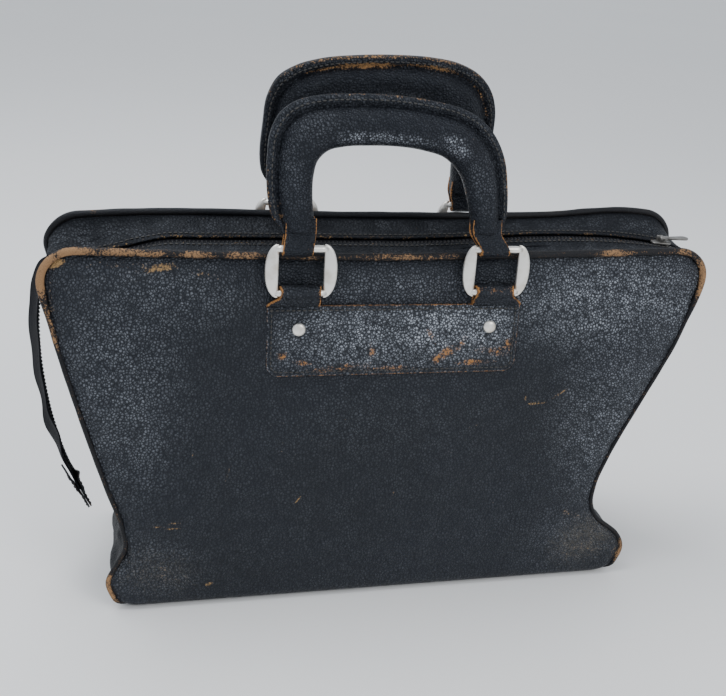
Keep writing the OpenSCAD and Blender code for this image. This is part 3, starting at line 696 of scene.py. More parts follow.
for side in sides:
    top = side.length - 2 * pipe_r
    left_end = half_width(left_edge, side, np.array([top]))[0] + corner_r * 0.93
    right_end = half_width(right_edge, side, np.array([top]))[0] + corner_r * 0.93
    x = np.linspace(-left_end, right_end, 240)[None, :]
    rim = side.at(x[0], rim_edge(side, x[0]) + 0.0010, -0.0030)
    low_z = through(facing_low, x)
    low_y = 0.0068 - 0.0045 * smooth((np.abs(x) - 0.192) / 0.022)
    u = np.linspace(0, 1, 44)[:, None]
    hollow = smooth((-0.115 - x) / 0.07) + 0.35 * smooth((x - 0.185) / 0.03)
    y = side.sign * (np.abs(rim[:, 1])[None, :] * (1 - u) + low_y * u)
    fall = u * (1 - 0.55 * hollow) + (1 - (1 - u) ** 2.6) * 0.55 * hollow
    z = rim[:, 2][None, :] * (1 - fall) + low_z * fall
    z = z - 0.0012 * np.sin(math.pi * u) * (1 - hollow)
    soft = np.sin(math.pi * np.clip(u * 1.02, 0, 1))
    z = z + soft * (0.0008 * ripple(x, y, 0.024, 71 + side.sign) * (0.3 + 1.2 * hollow)
                    + 0.00022 * ripple(x, 2.0 * y, 0.009, 75 + side.sign, 22) * (0.5 + hollow))
    top_face = np.stack(np.broadcast_arrays(x, y, z), -1)
    fold_y = side.sign * (low_y - np.array([0.0006, 0.0009, 0.0006, -0.0008])[:, None])
    fold_z = low_z - np.array([0.0003, 0.0009, 0.0016, 0.0019])[:, None]
    folded = np.stack(np.broadcast_arrays(x, fold_y, fold_z), -1)
    outer = np.concatenate([top_face, folded[:3]])
    inner = np.concatenate([top_face - np.array([0, 0, facing_thick]), np.repeat(folded[3:], 3, 0)])
    verts, faces = shell(outer, inner)
    rubbed = 0.16 + 0.22 * np.exp(-((u - 1) / 0.06) ** 2) + 0 * x
    rubbed = np.concatenate([rubbed, np.repeat(rubbed[-1:], 3, 0)])
    # Painted sheen on the facings: highlights of light painted on the grain, more in the sunk hollow
    painted_facing_sheen = (0.15 + 0.08 * hollow) * soft * (0.6 + 0.4 * ripple(x, y, 0.02, 73)) + 0 * rubbed[:-3]
    painted_facing_sheen = np.clip(np.concatenate([painted_facing_sheen, np.repeat(painted_facing_sheen[-1:], 3, 0)]), 0, 1)
    facing = facing_out(piece(side.name + "_mouth_facing", verts, faces, soft_hide,
                              scuff=np.tile(rubbed.ravel(), 2), dust=np.full(len(verts), 0.15),
                              shine=np.tile(painted_facing_sheen.ravel(), 2)))
    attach(facing, side.name + "_side")
    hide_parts(side.name + "_facing")
    sewn = top_face[-6, 8:-8] + np.array([0, 0, 0.0003])
    stitch_run(side.name + "_facing_stitches", sewn, (0, 0, 1), side.name + "_side", thread)


# Zip: a woven herringbone tape under the lower edge of each facing, with a row of small dull metal
# teeth clamped along it. The two rows mesh half a pitch apart.
tape_weave, tree, surface = new_material("tape_weave")
place = add(tree, "ShaderNodeTexCoord").outputs["Object"]
parts = add(tree, "ShaderNodeSeparateXYZ", {0: place})
zigzag = maths(tree, "PINGPONG", parts.outputs["Y"], 0.0012)
slant = maths(tree, "ADD", parts.outputs["X"], zigzag)
slant = maths(tree, "ADD", slant, parts.outputs["Z"])
rib = maths(tree, "PINGPONG", slant, 0.00035)
rib = span(tree, rib, 0.0, 0.00035)
fuzz = add(tree, "ShaderNodeTexNoise", {"Vector": place, "Scale": 900.0, "Detail": 3.0})
tree.links.new(mixed(tree, rib, (0.003, 0.003, 0.004, 1), (0.011, 0.012, 0.017, 1)),
               surface.inputs["Base Color"])
tree.links.new(span(tree, fuzz.outputs["Fac"], 0, 1, 0.62, 0.85), surface.inputs["Roughness"])
surface.inputs["Specular IOR Level"].default_value = 0.12
tree.links.new(add(tree, "ShaderNodeBump", {"Strength": 0.8, "Distance": 0.0003, "Height": rib}).outputs[0],
               surface.inputs["Normal"])
tooth_metal, tree, surface = new_material("tooth_metal")
place = add(tree, "ShaderNodeTexCoord").outputs["Object"]
dull = add(tree, "ShaderNodeTexNoise", {"Vector": place, "Scale": 300.0, "Detail": 4.0})
tree.links.new(mixed(tree, dull.outputs["Fac"], (0.010, 0.010, 0.011, 1), (0.060, 0.060, 0.065, 1)),
               surface.inputs["Base Color"])
surface.inputs["Metallic"].default_value = 0.8
tree.links.new(span(tree, dull.outputs["Fac"], 0.3, 0.7, 0.3, 0.6), surface.inputs["Roughness"])


def tooth(name):
    """One tooth: a clamped foot and a rounded head, pointing along +Y."""
    outline = [(-0.0006, -0.0016), (0.0006, -0.0016), (0.0007, 0.0002), (0.00045, 0.0007),
               (0.0007, 0.0013), (0.0004, 0.0019), (-0.0004, 0.0019), (-0.0007, 0.0013),
               (-0.00045, 0.0007), (-0.0007, 0.0002)]
    low = [(a, b, -0.0009) for a, b in outline]
    high = [(a * 0.8, b * 0.93, 0.0009) for a, b in outline]
    return facing_out(piece(name, low + high, tube_faces(2, len(outline)), tooth_metal))


zip_low, zip_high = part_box("front_zip_teeth")
tape_under, teeth_under, tooth_pitch = 0.0026, 0.0027, 0.0026
tape_thick = 0.0008
for side in sides:
    x = np.linspace(-0.2085, 0.2085, 200)[None, :]
    v = np.linspace(0, 1, 7)[:, None]
    level = through(facing_low, x) - tape_under
    y = side.sign * (0.0007 + 0.0125 * v) + 0 * x
    y = y * (1 - 0.35 * smooth((np.abs(x) - 0.195) / 0.014))
    z = level + 0.0004 * ripple(x, y, 0.03, 81) * v
    over = np.stack(np.broadcast_arrays(x, y, z), -1)
    verts, faces = shell(over, over - np.array([0, 0, tape_thick]))
    tape = facing_out(piece(side.name + "_tape", verts, faces, tape_weave))
    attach(tape, side.name + "_side")
    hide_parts(side.name + "_zip_tape")
    shift = 0 if side is front else tooth_pitch / 2
    x = np.linspace(zip_low.x, zip_high.x, 150) + shift
    if side is rear:
        x = x[::-1]
    y = np.full(150, side.sign * 0.0016)
    path = np.stack([x, y, through(facing_low, x) - teeth_under], 1)
    teeth = laid_along(side.name + "_teeth", path, (0, 0, 1), tooth(side.name + "_one_tooth"), tooth_pitch,
                       tooth_metal, side.name + "_side")
    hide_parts(side.name + "_zip_teeth")


# Slider and pull: two pressed nickel plates with a post between them, and a flat pull tab hinged on
# a pin over the upper plate.
nickel, tree, surface = new_material("satin_nickel")
place = add(tree, "ShaderNodeTexCoord").outputs["Object"]
brushed = add(tree, "ShaderNodeMapping", {"Vector": place, "Scale": (400.0, 400.0, 40.0)})
marks = add(tree, "ShaderNodeTexNoise", {"Vector": brushed.outputs[0], "Scale": 4.0, "Detail": 4.0})
tarnish = add(tree, "ShaderNodeTexNoise", {"Vector": place, "Scale": 120.0, "Detail": 5.0})
tree.links.new(mixed(tree, span(tree, tarnish.outputs["Fac"], 0.45, 0.75), (0.88, 0.86, 0.81, 1),
                     (0.60, 0.55, 0.46, 1)), surface.inputs["Base Color"])
surface.inputs["Metallic"].default_value = 0.85
tree.links.new(span(tree, marks.outputs["Fac"], 0.3, 0.7, 0.30, 0.46), surface.inputs["Roughness"])
tree.links.new(add(tree, "ShaderNodeBump", {"Strength": 0.25, "Distance": 0.0001,
                                            "Height": marks.outputs["Fac"]}).outputs[0],
               surface.inputs["Normal"])


def prism(outline, low, high, soften):
    """An outline raised from low to high, its corners softened: points and faces."""
    bm = bmesh.new()
    bottom = [bm.verts.new((a, b, low)) for a, b in outline]
    face = bm.faces.new(bottom)
    raised = bmesh.ops.extrude_face_region(bm, geom=[face])["geom"]
    lifted = [v for v in raised if isinstance(v, bmesh.types.BMVert)]
    bmesh.ops.translate(bm, vec=(0, 0, high - low), verts=lifted)
    bmesh.ops.recalc_face_normals(bm, faces=bm.faces)
    rims = [e for e in bm.edges if abs(e.verts[0].co.z - e.verts[1].co.z) < 1e-7]
    bmesh.ops.bevel(bm, geom=rims, offset=soften, segments=3, profile=0.5, affect="EDGES")
    bm.verts.index_update()
    points = [tuple(v.co) for v in bm.verts]
    faces = [[v.index for v in f.verts] for f in bm.faces]
    bm.free()
    return points, faces


def joined(parts):
    points, faces = [], []
    for p, f in parts:
        faces += [[i + len(points) for i in face] for face in f]
        points += [tuple(q) for q in p]
    return points, faces


def pin(a, b, radius, sides_round=16):
    turns = np.linspace(0, 2 * math.pi, sides_round + 1)[:-1]
    a, b = np.array(a, float), np.array(b, float)
    axis = unit(b - a)
    one = unit(np.cross(axis, [0.3, 0.5, 0.9]))
    two = np.cross(axis, one)
    ring = np.cos(turns)[:, None] * one + np.sin(turns)[:, None] * two
    levels = [(0, 0.8), (0.12, 1), (0.88, 1), (1, 0.8)]
    verts = np.concatenate([a + (b - a) * t + ring * radius * r for t, r in levels])
    return verts.tolist(), tube_faces(len(levels), sides_round)


def rounded_outline(length, width, nose, steps=8):
    """A plate's outline along +X, its far end rounded and its near end narrowed to nose."""
    far = [(length - width / 2 + width / 2 * math.cos(a), width / 2 * math.sin(a))
           for a in np.linspace(-math.pi / 2, math.pi / 2, steps + 1)]
    near = [(0.0012, nose / 2), (0, nose / 2 - 0.0008), (0, -nose / 2 + 0.0008), (0.0012, -nose / 2)]
    return far + near


dull_nickel, tree, surface = new_material("dull_nickel")
place = add(tree, "ShaderNodeTexCoord").outputs["Object"]
stained = add(tree, "ShaderNodeTexNoise", {"Vector": place, "Scale": 260.0, "Detail": 5.0})
tree.links.new(mixed(tree, stained.outputs["Fac"], (0.10, 0.095, 0.09, 1), (0.36, 0.35, 0.33, 1)),
               surface.inputs["Base Color"])
surface.inputs["Metallic"].default_value = 0.9
tree.links.new(span(tree, stained.outputs["Fac"], 0.3, 0.7, 0.52, 0.34), surface.inputs["Roughness"])
low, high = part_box("zip_slider")
slider_mid = (low.x + high.x) / 2
plate = [(x + low.x, y) for x, y in rounded_outline(high.x - low.x, high.y - low.y, 0.0062)]
eye = joint_place("pull_flip")
upper = eye[2] - 0.0036
parts = [prism(plate, low.z, low.z + 0.0015, 0.0004), prism(plate, upper, upper + 0.0015, 0.0004),
         prism([(high.x - 0.0035, -0.0006), (high.x - 0.0010, -0.0006), (high.x - 0.0010, 0.0006),
                (high.x - 0.0035, 0.0006)], low.z + 0.001, upper + 0.0005, 0.0001)]
for y in (-0.0029, 0.0029):
    parts.append(prism([(slider_mid - 0.0022, y - 0.0006), (slider_mid + 0.0022, y - 0.0006),
                        (slider_mid + 0.0022, y + 0.0006), (slider_mid - 0.0022, y + 0.0006)],
                       upper + 0.001, eye[2] + 0.0014, 0.0003))
parts.append(pin((eye[0], -0.0035, eye[2]), (eye[0], 0.0035, eye[2]), 0.0009))
slider = facing_out(piece("slider_body", *joined(parts), dull_nickel))
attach(slider, "slider")
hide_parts("zip_slider")

pull_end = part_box("zip_pull")[1].x
tab = [(eye[0] + 0.0035 + x, y) for x, y in rounded_outline(pull_end - eye[0] - 0.0035, 0.0065, 0.0042)]
tab_points, tab_faces = prism(tab, eye[2] - 0.0006, eye[2] + 0.0007, 0.0003)
collar_points, collar_faces = prism([(eye[0] - 0.0004, -0.0018), (eye[0] + 0.0050, -0.0018),
                                     (eye[0] + 0.0050, 0.0018), (eye[0] - 0.0004, 0.0018)],
                                    eye[2] - 0.0013, eye[2] + 0.0013, 0.0005)
knuckle = pin((eye[0], -0.0021, eye[2]), (eye[0], 0.0021, eye[2]), 0.0018)
pull_parts = joined([(tab_points, tab_faces), (collar_points, collar_faces), knuckle])
pull = facing_out(piece("pull_tab", *pull_parts, dull_nickel))
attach(pull, "pull")
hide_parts("zip_pull")


# Tail: the end of the zip runs out past the left corner and hangs down, a little twisted, with its
# teeth closed and a folded leather tab sewn over its end.
tail_path = [(0.0, -0.008, -0.0115), (0.06, 0.001, -0.0120), (0.12, 0.0085, -0.0160),
             (0.19, 0.0130, -0.0270), (0.30, 0.0160, -0.046), (0.45, 0.0165, -0.075),
             (0.6, 0.0140, -0.103), (0.75, 0.0095, -0.129), (0.9, 0.0025, -0.154),
             (1.0, -0.0040, -0.1705)]
tail_root = joint_place("tail_swing")
start_x, start_z = tail_root[0] + 0.004, tail_root[2]
t = np.linspace(0, 1, 120)
down = np.array(tail_path)
tail_mid = np.stack([start_x - through(down[:, [0, 1]], t), 0.0015 * np.sin(5 * t),
                     start_z + through(down[:, [0, 2]], t)], 1)
run = unit(np.gradient(tail_mid, axis=0))
tail_turn = [(0.0, -9), (0.15, -14), (0.39, -20), (0.55, -19), (0.66, -18), (0.76, -28), (0.86, -15),
             (0.93, -18), (1.0, -20)]
twist = np.radians(through(tail_turn, t))
side_way = np.stack([np.sin(twist), np.cos(twist), 0 * t], 1)
side_way = unit(side_way - np.sum(side_way * run, 1, keepdims=True) * run)
face_way = np.cross(run, side_way)
tape_half = 0.0110
across = np.linspace(-1, 1, 21)
curl = (0.0010 * (1 - across ** 2)[None, :]
        + 0.0004 * ripple(t[:, None] * 0.2, across[None, :] * 0.01, 0.03, 91))
outer = (tail_mid[:, None] + across[None, :, None] * tape_half * side_way[:, None]
         + (curl + 0.0005)[..., None] * face_way[:, None])
verts, faces = shell(outer, outer - 0.0010 * face_way[:, None])
tail = facing_out(piece("tail_tape", verts, faces, tape_weave))
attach(tail, "tail")
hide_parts("zip_tail")
for sign in (-1, 1):
    line = tail_mid + 0.0016 * sign * side_way + 0.0022 * face_way
    line = line[4:-8] if sign < 0 else line[4:-8][::-1]
    laid_along("tail_teeth_" + ("near" if sign < 0 else "far"), line,
                                 unit(face_way.mean(0)), tooth("tail_one_tooth"), tooth_pitch,
                                 tooth_metal, "tail")

edge_raw = cowhide("raw_edged_hide", (0.010, 0.010, 0.011, 1), (0.024, 0.021, 0.019, 1),
                   (0.50, 0.23, 0.08, 1), cells=700, depth=0.0003, gloss=0.42, wrinkle=0.8)
tab_run = unit(tail_mid[-1] - tail_mid[-6])
tab_side = side_way[-1]
tab_face = np.cross(tab_run, tab_side)
tab_start = tail_mid[-1] - 0.012 * tab_run
for sign in (-1, 1):
    u = np.linspace(0, 1, 34)[:, None]
    v = np.linspace(-1, 1, 15)[None, :]
    half = (0.0107 - 0.0035 * smooth((u - 0.80) / 0.20) ** 2
            + 0.0004 * ripple(u * 0.03, v * 0, 0.012, 93 + sign))
    ear = (0.0026 if sign > 0 else 0.0009) * np.exp(-(u / 0.11) ** 2) * (0.35 + 0.65 * smooth(-v))
    lift = sign * (0.0002 + 0.0012 * smooth((0.62 - u) / 0.25) + ear)
    notch = 0.0022 * (1 - np.abs(v)) * (1 - u) ** 2
    base_points = (tab_start + (u[..., None] * 0.030 + notch[..., None]) * tab_run
                   + (v * half)[..., None] * tab_side)
    layer = base_points + (lift + 0 * v)[..., None] * tab_face
    verts, faces = shell(layer + sign * 0.0012 * tab_face, layer)
    scuff = 0.16 + 0.14 * np.maximum(np.abs(v) ** 10, (1 - u) ** 14) + 0 * u
    layer_name = "tail_tab_" + ("inner" if sign < 0 else "outer")
    tab_piece = facing_out(piece(layer_name, verts, faces, edge_raw, scuff=np.tile(scuff.ravel(), 2),
                                 dust=np.full(len(verts), 0.3)))
    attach(tab_piece, "tail")
    sewn = layer[3:-3, 2] + sign * 0.0013 * tab_face
    stitch_run(tab_piece.name + "_stitches", sewn, sign * tab_face, "tail", thread)
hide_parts("tail_tab")


# Handle patches: one piece of hide on each side, with two tabs that rise from its top edge, pass
# round the lower bars of the rings and go back down behind it. Sewn all round and riveted.
patch_scuffs = {
    "front": [(0.033, 0.171, 0.014, 0.0050, 40, 0.53), (0.043, 0.176, 0.010, 0.004, 50, 0.53),
              (0.066, 0.172, 0.020, 0.0050, -8, 0.50), (0.078, 0.177, 0.008, 0.005, 40, 0.54),
              (0.024, 0.183, 0.012, 0.003, -60, 0.46), (0.028, 0.168, 0.005, 0.004, 0, 0.60),
              (0.055, 0.165, 0.020, 0.0035, 0, 0.56), (-0.073, 0.172, 0.004, 0.004, 0, 0.66),
              (-0.060, 0.167, 0.010, 0.003, 0, 0.55), (-0.035, 0.163, 0.030, 0.004, 5, 0.50),
              (-0.016, 0.174, 0.004, 0.006, 0, 0.58), (0.0, 0.162, 0.03, 0.003, 0, 0.46)],
    "rear": [(0.02, 0.182, 0.02, 0.005, 20, 0.55), (-0.06, 0.175, 0.012, 0.004, 0, 0.58)],
}
patch_half, patch_h, patch_t, patch_r = 0.083, 0.046, 0.0026, 0.008
patch_drop, bar_drop, bar_out = 0.038, 0.029, 0.00505
rivet_drop = 0.053
patch_hide = cowhide("patch_hide", black, blue_black, (0.52, 0.25, 0.08, 1), cells=560, depth=0.0009,
                     gloss=0.35, wrinkle=0.9)
# Where highlights of light are painted on the patches
patch_painted_sheen = {"front": [(0.035, 0.190, 0.050, 0.026, 0, 1.5), (-0.020, 0.185, 0.060, 0.026, 0, 1.0),
                         (0.0, 0.180, 0.095, 0.040, 0, 0.60)],
               "rear": [(0.0, 0.190, 0.080, 0.030, 0, 0.60)]}
ring_x = 0.063
for side in sides:
    top = side.length - patch_drop
    down = np.concatenate([patch_r * (1 - np.cos(np.linspace(0, math.pi / 2, 10))),
                           np.linspace(patch_r, patch_h - 0.001, 26)[1:], [patch_h]])
    s = (top - patch_h + down)[:, None]
    corner = np.clip(patch_r - down, 0, patch_r)[:, None]
    half = patch_half - patch_r + np.sqrt(patch_r ** 2 - corner ** 2)
    share = np.linspace(-1, 1, 131)[None, :]
    share = np.sign(share) * (1 - (1 - np.abs(share)) ** 1.15)
    x = share * half
    edge = np.minimum(half - np.abs(x), np.minimum(s - (top - patch_h), top - s))
    out = patch_t - 0.0007 * np.exp(-edge / 0.0009) - 0.0006 * np.exp(-((edge - 0.0028) / 0.0009) ** 2)
    out = out + 0.00025 * ripple(x, s, 0.02, 101 + side.sign) * smooth(edge / 0.01)
    for sx in (-1, 1):
        away = np.hypot(x - sx * ring_x, s - (side.length - rivet_drop))
        out = out - 0.0005 * np.exp(-(away / 0.0065) ** 4)
    plate_top, plate_low = side.at(x, s, out), side.at(x, s, 0 * out - 0.0004)
    scuff = np.maximum(spots(x, s, patch_scuffs[side.name]), 0.46 * np.exp(-(edge / 0.0008) ** 2) + 0.10)
    parts = [shell(plate_top, plate_low)]
    scuffs = [np.tile(scuff.ravel(), 2)]
    # Painted sheen on the patch: highlights of light painted on its grain, and a pale painted highlight
    # along its edge
    shine = spots(x, s, patch_painted_sheen[side.name]) * smooth(edge / 0.004)
    shine = shine + 0.9 * np.exp(-(edge / 0.0009) ** 2)
    painted_sheens = [np.tile(shine.ravel(), 2)]
    for sx in (-1, 1):
        wrap = np.linspace(0, math.pi, 15)
        loop_r = 0.0037
        out_line = np.concatenate([np.linspace(patch_t - 0.0011, bar_out + loop_r - 0.0002, 10)[:-1],
                                   bar_out + loop_r * np.cos(wrap),
                                   np.linspace(bar_out - loop_r, 0.0009, 8)[1:]])
        s_line = np.concatenate([np.linspace(-patch_drop - 0.0002, -bar_drop, 10)[:-1],
                                 -bar_drop + loop_r * np.sin(wrap),
                                 np.linspace(-bar_drop, -patch_drop - 0.004, 8)[1:]])
        n = len(s_line)
        flare = 0.0075 * smooth((10 - np.arange(n)) / 10) ** 2
        tab_half = 0.0130 - 0.0008 * np.sin(math.pi * np.clip((np.arange(n) - 4) / 12, 0, 1))
        inner_edge = sx * ring_x - sx * tab_half
        outer_edge = sx * ring_x + sx * (tab_half + flare)
        v = np.linspace(0, 1, 17)
        xs = inner_edge[:, None] * (1 - v) + outer_edge[:, None] * v
        line = side.at(0, side.length + s_line, out_line)
        normal = unit(np.cross(np.gradient(line, axis=0), [1, 0, 0]) * side.sign)
        crown = 0.0011 - 0.0004 * np.abs(2 * v - 1) ** 8
        outer = np.stack([xs, np.repeat(line[:, 1:2], 17, 1), np.repeat(line[:, 2:3], 17, 1)], -1)
        parts.append(shell(outer + crown[None, :, None] * normal[:, None],
                           outer - crown[None, :, None] * normal[:, None]))
        rubbed = 0.55 * np.abs(2 * v - 1)[None, :] ** 12 + 0.15 + 0.25 * np.exp(
            -((np.arange(n)[:, None] - 11) / 2.5) ** 2) * (0.6 + 0.4 * sx)
        scuffs.append(np.tile(rubbed.ravel(), 2))
        painted_sheens.append(np.full(2 * rubbed.size, 0.12))
    points, faces = joined([(p.tolist(), f.tolist()) for p, f in parts])
    patch = facing_out(piece(side.name + "_handle_patch", points, faces, patch_hide,
                             scuff=np.concatenate(scuffs), shine=np.concatenate(painted_sheens),
                             dust=np.full(len(points), 0.2)))
    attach(patch, side.name + "_side")
    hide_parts(side.name + "_patch")
    inset = 0.0028
    turn = np.linspace(0, math.pi / 2, 8)
    low_s, r = top - patch_h, patch_r - inset
    run_x = np.concatenate([[-patch_half + inset], -patch_half + patch_r - r * np.cos(turn),
                            patch_half - patch_r + r * np.sin(turn), [patch_half - inset]])
    run_s = np.concatenate([[top - inset], low_s + patch_r - r * np.sin(turn),
                            low_s + patch_r - r * np.cos(turn), [top - inset]])
    around = side.at(run_x, run_s, patch_t - 0.0002)
    stitch_run(side.name + "_patch_stitches", around, side.normal(), side.name + "_side", thread)
    across_top = side.at(np.linspace(-patch_half + inset, patch_half - inset, 40),
                         np.full(40, top - inset), patch_t - 0.0002)
    stitch_run(side.name + "_patch_top_stitches", across_top, side.normal(), side.name + "_side", thread)

    # Rivets: pressed nickel heads with a washer inside
    rivet_r = 0.0043
    lathe = [(0.0, 0.0021), (0.30, 0.00205), (0.6, 0.0018), (0.82, 0.0014), (0.95, 0.0008), (1.0, 0.0002),
             (0.97, -0.0002), (0.38, -0.0003), (0.36, -0.0070), (0.85, -0.0071), (0.85, -0.0080),
             (0.0, -0.0080)]
    turns = np.linspace(0, 2 * math.pi, 33)[:-1]
    rivet_parts = []
    for sx in (-1, 1):
        rings = [side.at(sx * ring_x + r * rivet_r * np.cos(turns),
                         side.length - rivet_drop + r * rivet_r * np.sin(turns), patch_t + h)
                 for r, h in lathe[1:-1]]
        points = np.concatenate(rings).tolist()
        faces = [list(f) for f in grid_faces(len(rings), 32, wrap_cols=True)]
        for index, (r, h) in ((0, lathe[0]), (len(rings) - 1, lathe[-1])):
            points.append(side.at(sx * ring_x, side.length - rivet_drop, patch_t + h).tolist())
            for i in range(32):
                faces.append([index * 32 + i, index * 32 + (i + 1) % 32, len(points) - 1])
        rivet_parts.append((points, faces))
    rivets = facing_out(piece(side.name + "_rivet_heads", *joined(rivet_parts), nickel))
    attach(rivets, side.name + "_side")
    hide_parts(side.name + "_rivets")


# Rings: each is cast in one and nickel plated, two half-moon cheeks joined by a round bar at the top
# and bottom. The lower bar turns in the patch's tab, and the upper one in the handle's loop.
cheek_w, cheek_h, cheek_t, ring_in, bar_gap, bar_r = 0.0084, 0.034, 0.0042, 0.028, 0.028, 0.00225
tilt = math.radians(3)
for side in sides:
    pivot = side.at(0, side.length - bar_drop, bar_out)
    upright = math.cos(tilt) * side.upward() + math.sin(tilt) * side.normal()
    outward = math.cos(tilt) * side.normal() - math.sin(tilt) * side.upward()
    for sx, ring_name in ((-1, "left"), (1, "right")):
        parts = []
        for cx in (-1, 1):
            tall = np.sin(np.linspace(-math.pi / 2, math.pi / 2, 41)) * cheek_h / 2 * 0.985
            wide = cheek_w * np.clip(1 - np.abs(2 * tall / cheek_h) ** 2.3, 0, 1) ** 0.5
            a = np.linspace(0, 2 * math.pi, 29)[:-1]
            bulge_x = np.sign(np.cos(a)) * np.abs(np.cos(a)) ** 0.7
            bulge_y = np.sign(np.sin(a)) * np.abs(np.sin(a)) ** 0.8
            depth = cheek_t / 2 * np.clip((wide / cheek_w) ** 0.6, 0.3, 1)
            px = sx * ring_x + cx * (ring_in / 2 + wide[:, None] / 2 * (1 + bulge_x[None, :]))
            points = (pivot + np.stack([px, 0 * px, 0 * px], -1)
                      + (tall + bar_gap / 2)[:, None, None] * upright
                      + (depth[:, None] * bulge_y[None, :])[..., None] * outward)
            parts.append((points.reshape(-1, 3).tolist(), tube_faces(41, len(a))))
        for level in (0, bar_gap):
            centre = pivot + level * upright + np.array([sx * ring_x, 0, 0])
            reach = np.array([ring_in / 2 + 0.002, 0, 0])
            parts.append(pin(centre - reach, centre + reach, bar_r, 24))
        ring = facing_out(piece(f"{side.name}_{ring_name}_half_moons", *joined(parts), nickel))
        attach(ring, f"{side.name}_ring_{ring_name}")
        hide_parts(f"{side.name}_ring_{ring_name}")


# Handles: hide drawn over a felt core and sewn together along the outer edge, which leaves a
# padded face with a groove and a flat sewn rim round it. They have slumped a little to the left.
tan = (0.52, 0.30, 0.13, 1)
handle_hide = cowhide("handle_hide", black, blue_black, tan, cells=620, depth=0.0007, gloss=0.34,
                      wrinkle=0.9, level=0.26)
handle_outer = {
    "front": [(-0.0800, 0.009), (-0.0845, 0.030), (-0.0852, 0.055), (-0.0832, 0.070), (-0.0775, 0.0805),
              (-0.0680, 0.0872), (-0.0550, 0.0905), (-0.036, 0.0920), (-0.008, 0.0920), (0.015, 0.0895),
              (0.0325, 0.0860), (0.0445, 0.0805), (0.0545, 0.0710), (0.0620, 0.0570), (0.0655, 0.039),
              (0.0665, 0.024), (0.0665, 0.009)],
    "rear": [(-0.0785, 0.009), (-0.0830, 0.030), (-0.0825, 0.055), (-0.0805, 0.0730), (-0.0745, 0.0850),
             (-0.0640, 0.0922), (-0.0480, 0.0973), (-0.025, 0.1003), (-0.002, 0.1015), (0.022, 0.1010),
             (0.0410, 0.0978), (0.0550, 0.0910), (0.0640, 0.0815), (0.0690, 0.0690), (0.0705, 0.055),
             (0.0715, 0.030), (0.0710, 0.009)],
}
handle_inner = {
    "front": [(-0.0550, 0.009), (-0.0575, 0.030), (-0.0572, 0.044), (-0.0550, 0.0525), (-0.0490, 0.0585),
              (-0.0390, 0.0612), (-0.024, 0.0622), (-0.007, 0.0622), (0.010, 0.0602), (0.0240, 0.0560),
              (0.0335, 0.0470), (0.0390, 0.0340), (0.0420, 0.022), (0.0450, 0.009)],
    "rear": [(-0.0540, 0.009), (-0.0560, 0.030), (-0.0555, 0.048), (-0.0520, 0.0585), (-0.0450, 0.0655),
             (-0.0340, 0.0695), (-0.020, 0.0715), (0.000, 0.0720), (0.017, 0.0705), (0.0310, 0.0650),
             (0.0400, 0.0550), (0.0440, 0.0420), (0.0460, 0.026), (0.0480, 0.009)],
}
handle_scuffs = {
    "front": [(0.02, 0.77, 0.10, 0.10, 0, 0.40), (0.50, 0.99, 0.30, 0.05, 0, 0.42),
              (0.88, 0.98, 0.12, 0.06, 0, 0.55), (0.08, 0.98, 0.10, 0.06, 0, 0.50)],
    "rear": [(0.45, 0.80, 0.10, 0.09, 0, 0.74), (0.60, 0.82, 0.12, 0.07, 0, 0.62),
             (0.36, 0.80, 0.06, 0.06, 0, 0.6), (0.75, 0.80, 0.10, 0.05, 0, 0.50),
             (0.5, 0.98, 0.4, 0.05, 0, 0.50)],
}
# Where highlights are painted on the handles: a streak along the inner edge of the arch, its upper right
# corner, and a paler rim
handle_painted_sheen = {
    "front": [(0.50, 0.17, 0.17, 0.09, 0, 0.80), (0.39, 0.18, 0.06, 0.10, 0, 1.0),
              (0.70, 0.30, 0.045, 0.16, 0, 1.1), (0.30, 0.45, 0.10, 0.30, 0, 0.22),
              (0.85, 0.40, 0.10, 0.40, 0, 0.22), (0.15, 0.40, 0.10, 0.40, 0, 0.20),
              (0.50, 0.90, 0.60, 0.08, 0, 0.26)],
    "rear": [(0.50, 0.90, 0.60, 0.08, 0, 0.20), (0.50, 0.20, 0.20, 0.12, 0, 0.25)],
}


def even_line(points, count):
    """Points spaced evenly along a smooth line through the given ones."""
    points = np.array(points, float)
    reach = np.concatenate([[0], np.cumsum(np.hypot(*np.diff(points, axis=0).T))])
    fine = np.linspace(0, reach[-1], 600)
    x = through(np.stack([reach, points[:, 0]], 1), fine)
    y = through(np.stack([reach, points[:, 1]], 1), fine)
    length = np.concatenate([[0], np.cumsum(np.hypot(np.diff(x), np.diff(y)))])
    want = np.linspace(0, length[-1], count)
    return np.interp(want, length, x), np.interp(want, length, y)


